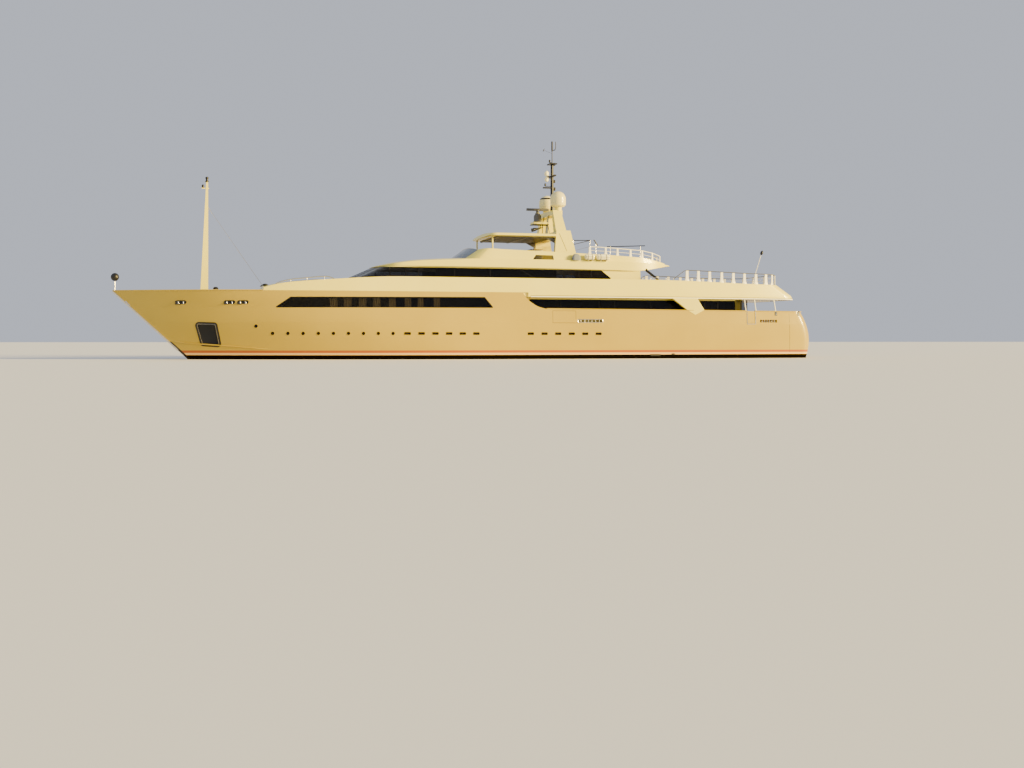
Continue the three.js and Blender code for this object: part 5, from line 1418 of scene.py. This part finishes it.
def stuffed(name, long, wide, thick, grain_size, most):
    spans = [steps(-size / 2, size / 2, count) for size, count in ((long, 8), (wide, 8), (thick, 2))]
    body = made(box_grid(*spans, lambda *point: point), name, 80)
    coarse = body.modifiers.new("remesh", "REMESH")
    coarse.mode, coarse.voxel_size = "VOXEL", grain_size * 1
    settled(body)
    start = [vertex.co.copy() for vertex in body.data.vertices]
    filling = body.modifiers.new("cloth", "CLOTH")
    filling.settings.use_pressure = True
    filling.settings.uniform_pressure_force = 4
    filling.settings.effector_weights.gravity = 0
    for step in range(1, 21):
        bpy.context.scene.frame_set(step)
    settled(body)
    for vertex, was in zip(body.data.vertices, start):
        move = vertex.co - was
        if move.length > most:
            vertex.co = was + move * (most / move.length)
    bpy.context.scene.frame_set(1)
    finer = body.modifiers.new("finer", "SUBSURF")
    finer.levels = 1
    settled(body)
    body.data.shade_smooth()
    return body


def laid(model, name, spot, tilt):
    copy = copied(model, name)
    turn = Matrix.Rotation(math.radians(tilt), 4, "Y")
    copy.data.transform(Matrix.Translation(Vector(spot) * HALF) @ turn)
    fitted(copy, canvas, "cushion")
    return copy


SEAT_BAY = 1.3
seat = stuffed("seat_block", 0.66, 1.26, 0.13, 0.014, 0.012)
back = stuffed("back_block", 0.16, 1.24, 0.42, 0.014, 0.014)
pad = stuffed("pad_block", 2.32, 1.22, 0.15, 0.022, 0.014)
for name, x, deck, half in (("upper_deck_sofa", -24.6, 5.56, 2.6), ("main_deck_sofa", -27.9, 2.97, 2.4)):
    plinth = bmesh.new()
    block(x + 0.02, x + 0.86, -half + 0.02, half - 0.02, deck + 0.05, deck + 0.32, plinth)
    block(x, x + 0.12, -half, half, deck + 0.05, deck + 0.8, plinth)
    fitted(eased(made(plinth, name + "_plinth"), 0.012), white_gelcoat, "white_gelcoat", name)
    squeeze = half / 2 / SEAT_BAY
    for n, y in enumerate(steps(-half + half / 4, half - half / 4, 3)):
        for model, spot, tilt, part in ((seat, (x + 0.5, y, deck + 0.41), 0, "seat"),
                                        (back, (x + 0.24, y, deck + 0.7), -8, "back")):
            piece = laid(model, "%s_%s_%d" % (name, part, n), spot, tilt)
            piece.data.transform(Matrix.Translation((0, y * HALF, 0)) @ Matrix.Diagonal((1, squeeze, 1, 1))
                                 @ Matrix.Translation((0, -y * HALF, 0)))
plinth = made(block(-14.58, -12.22, -1.88, 1.88, 8.2, 8.46), "sunpad_plinth")
fitted(eased(plinth, 0.015), white_gelcoat, "white_gelcoat", "sun_deck_sunpad")
for n, y in enumerate((-1.26, 0, 1.26)):
    laid(pad, "sunpad_cushion_%d" % n, (-13.4, y, 8.555), 0)
for n, (x0, y0, _) in enumerate(CHAIRS):
    piece = laid(seat, "chair_cushion_%d" % n, (0, 0, 0), 0)
    piece.data.transform(Matrix.Translation(Vector((x0, y0, 6.04)) * HALF)
                         @ Matrix.Diagonal((0.72, 0.4, 0.9, 1)))
for model in (seat, back, pad):
    bpy.data.objects.remove(model)

# Davit hoods: grey proofed canvas each side of the sun deck, ahead of the life rafts, over what is taken to
# be the folded tender davit. The proofed cloth has almost no shine.
HOOD_SECTION = [(-0.19, 0.0), (-0.2, 0.3), (-0.14, 0.5), (-0.04, 0.57), (0.06, 0.55), (0.16, 0.46),
                (0.21, 0.25), (0.22, 0.0)]
hood_canvas = sprayed("grey_proofed_canvas", "#6f7378", "#868a8c", 0.8, 0.92, 0.0)
for side, name in SIDES:
    rows = []
    for x in steps(-7.2, -7.95, 10):
        end = math.sqrt(max(0.05, 1 - (2 * (x + 7.575) / 0.8) ** 4))
        sag = 0.02 * math.sin(9 * x)
        rows.append([(x, side * (4.24 + out * end), 8.27 + up * end + sag * up) for out, up in HOOD_SECTION])
    hood = made(rows_of(bmesh.new(), rows), "davit_hood_" + name, 60)
    finer = hood.modifiers.new("finer", "SUBSURF")
    finer.levels = 2
    settled(hood)
    fitted(hood, hood_canvas, "cushion")

low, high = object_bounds()
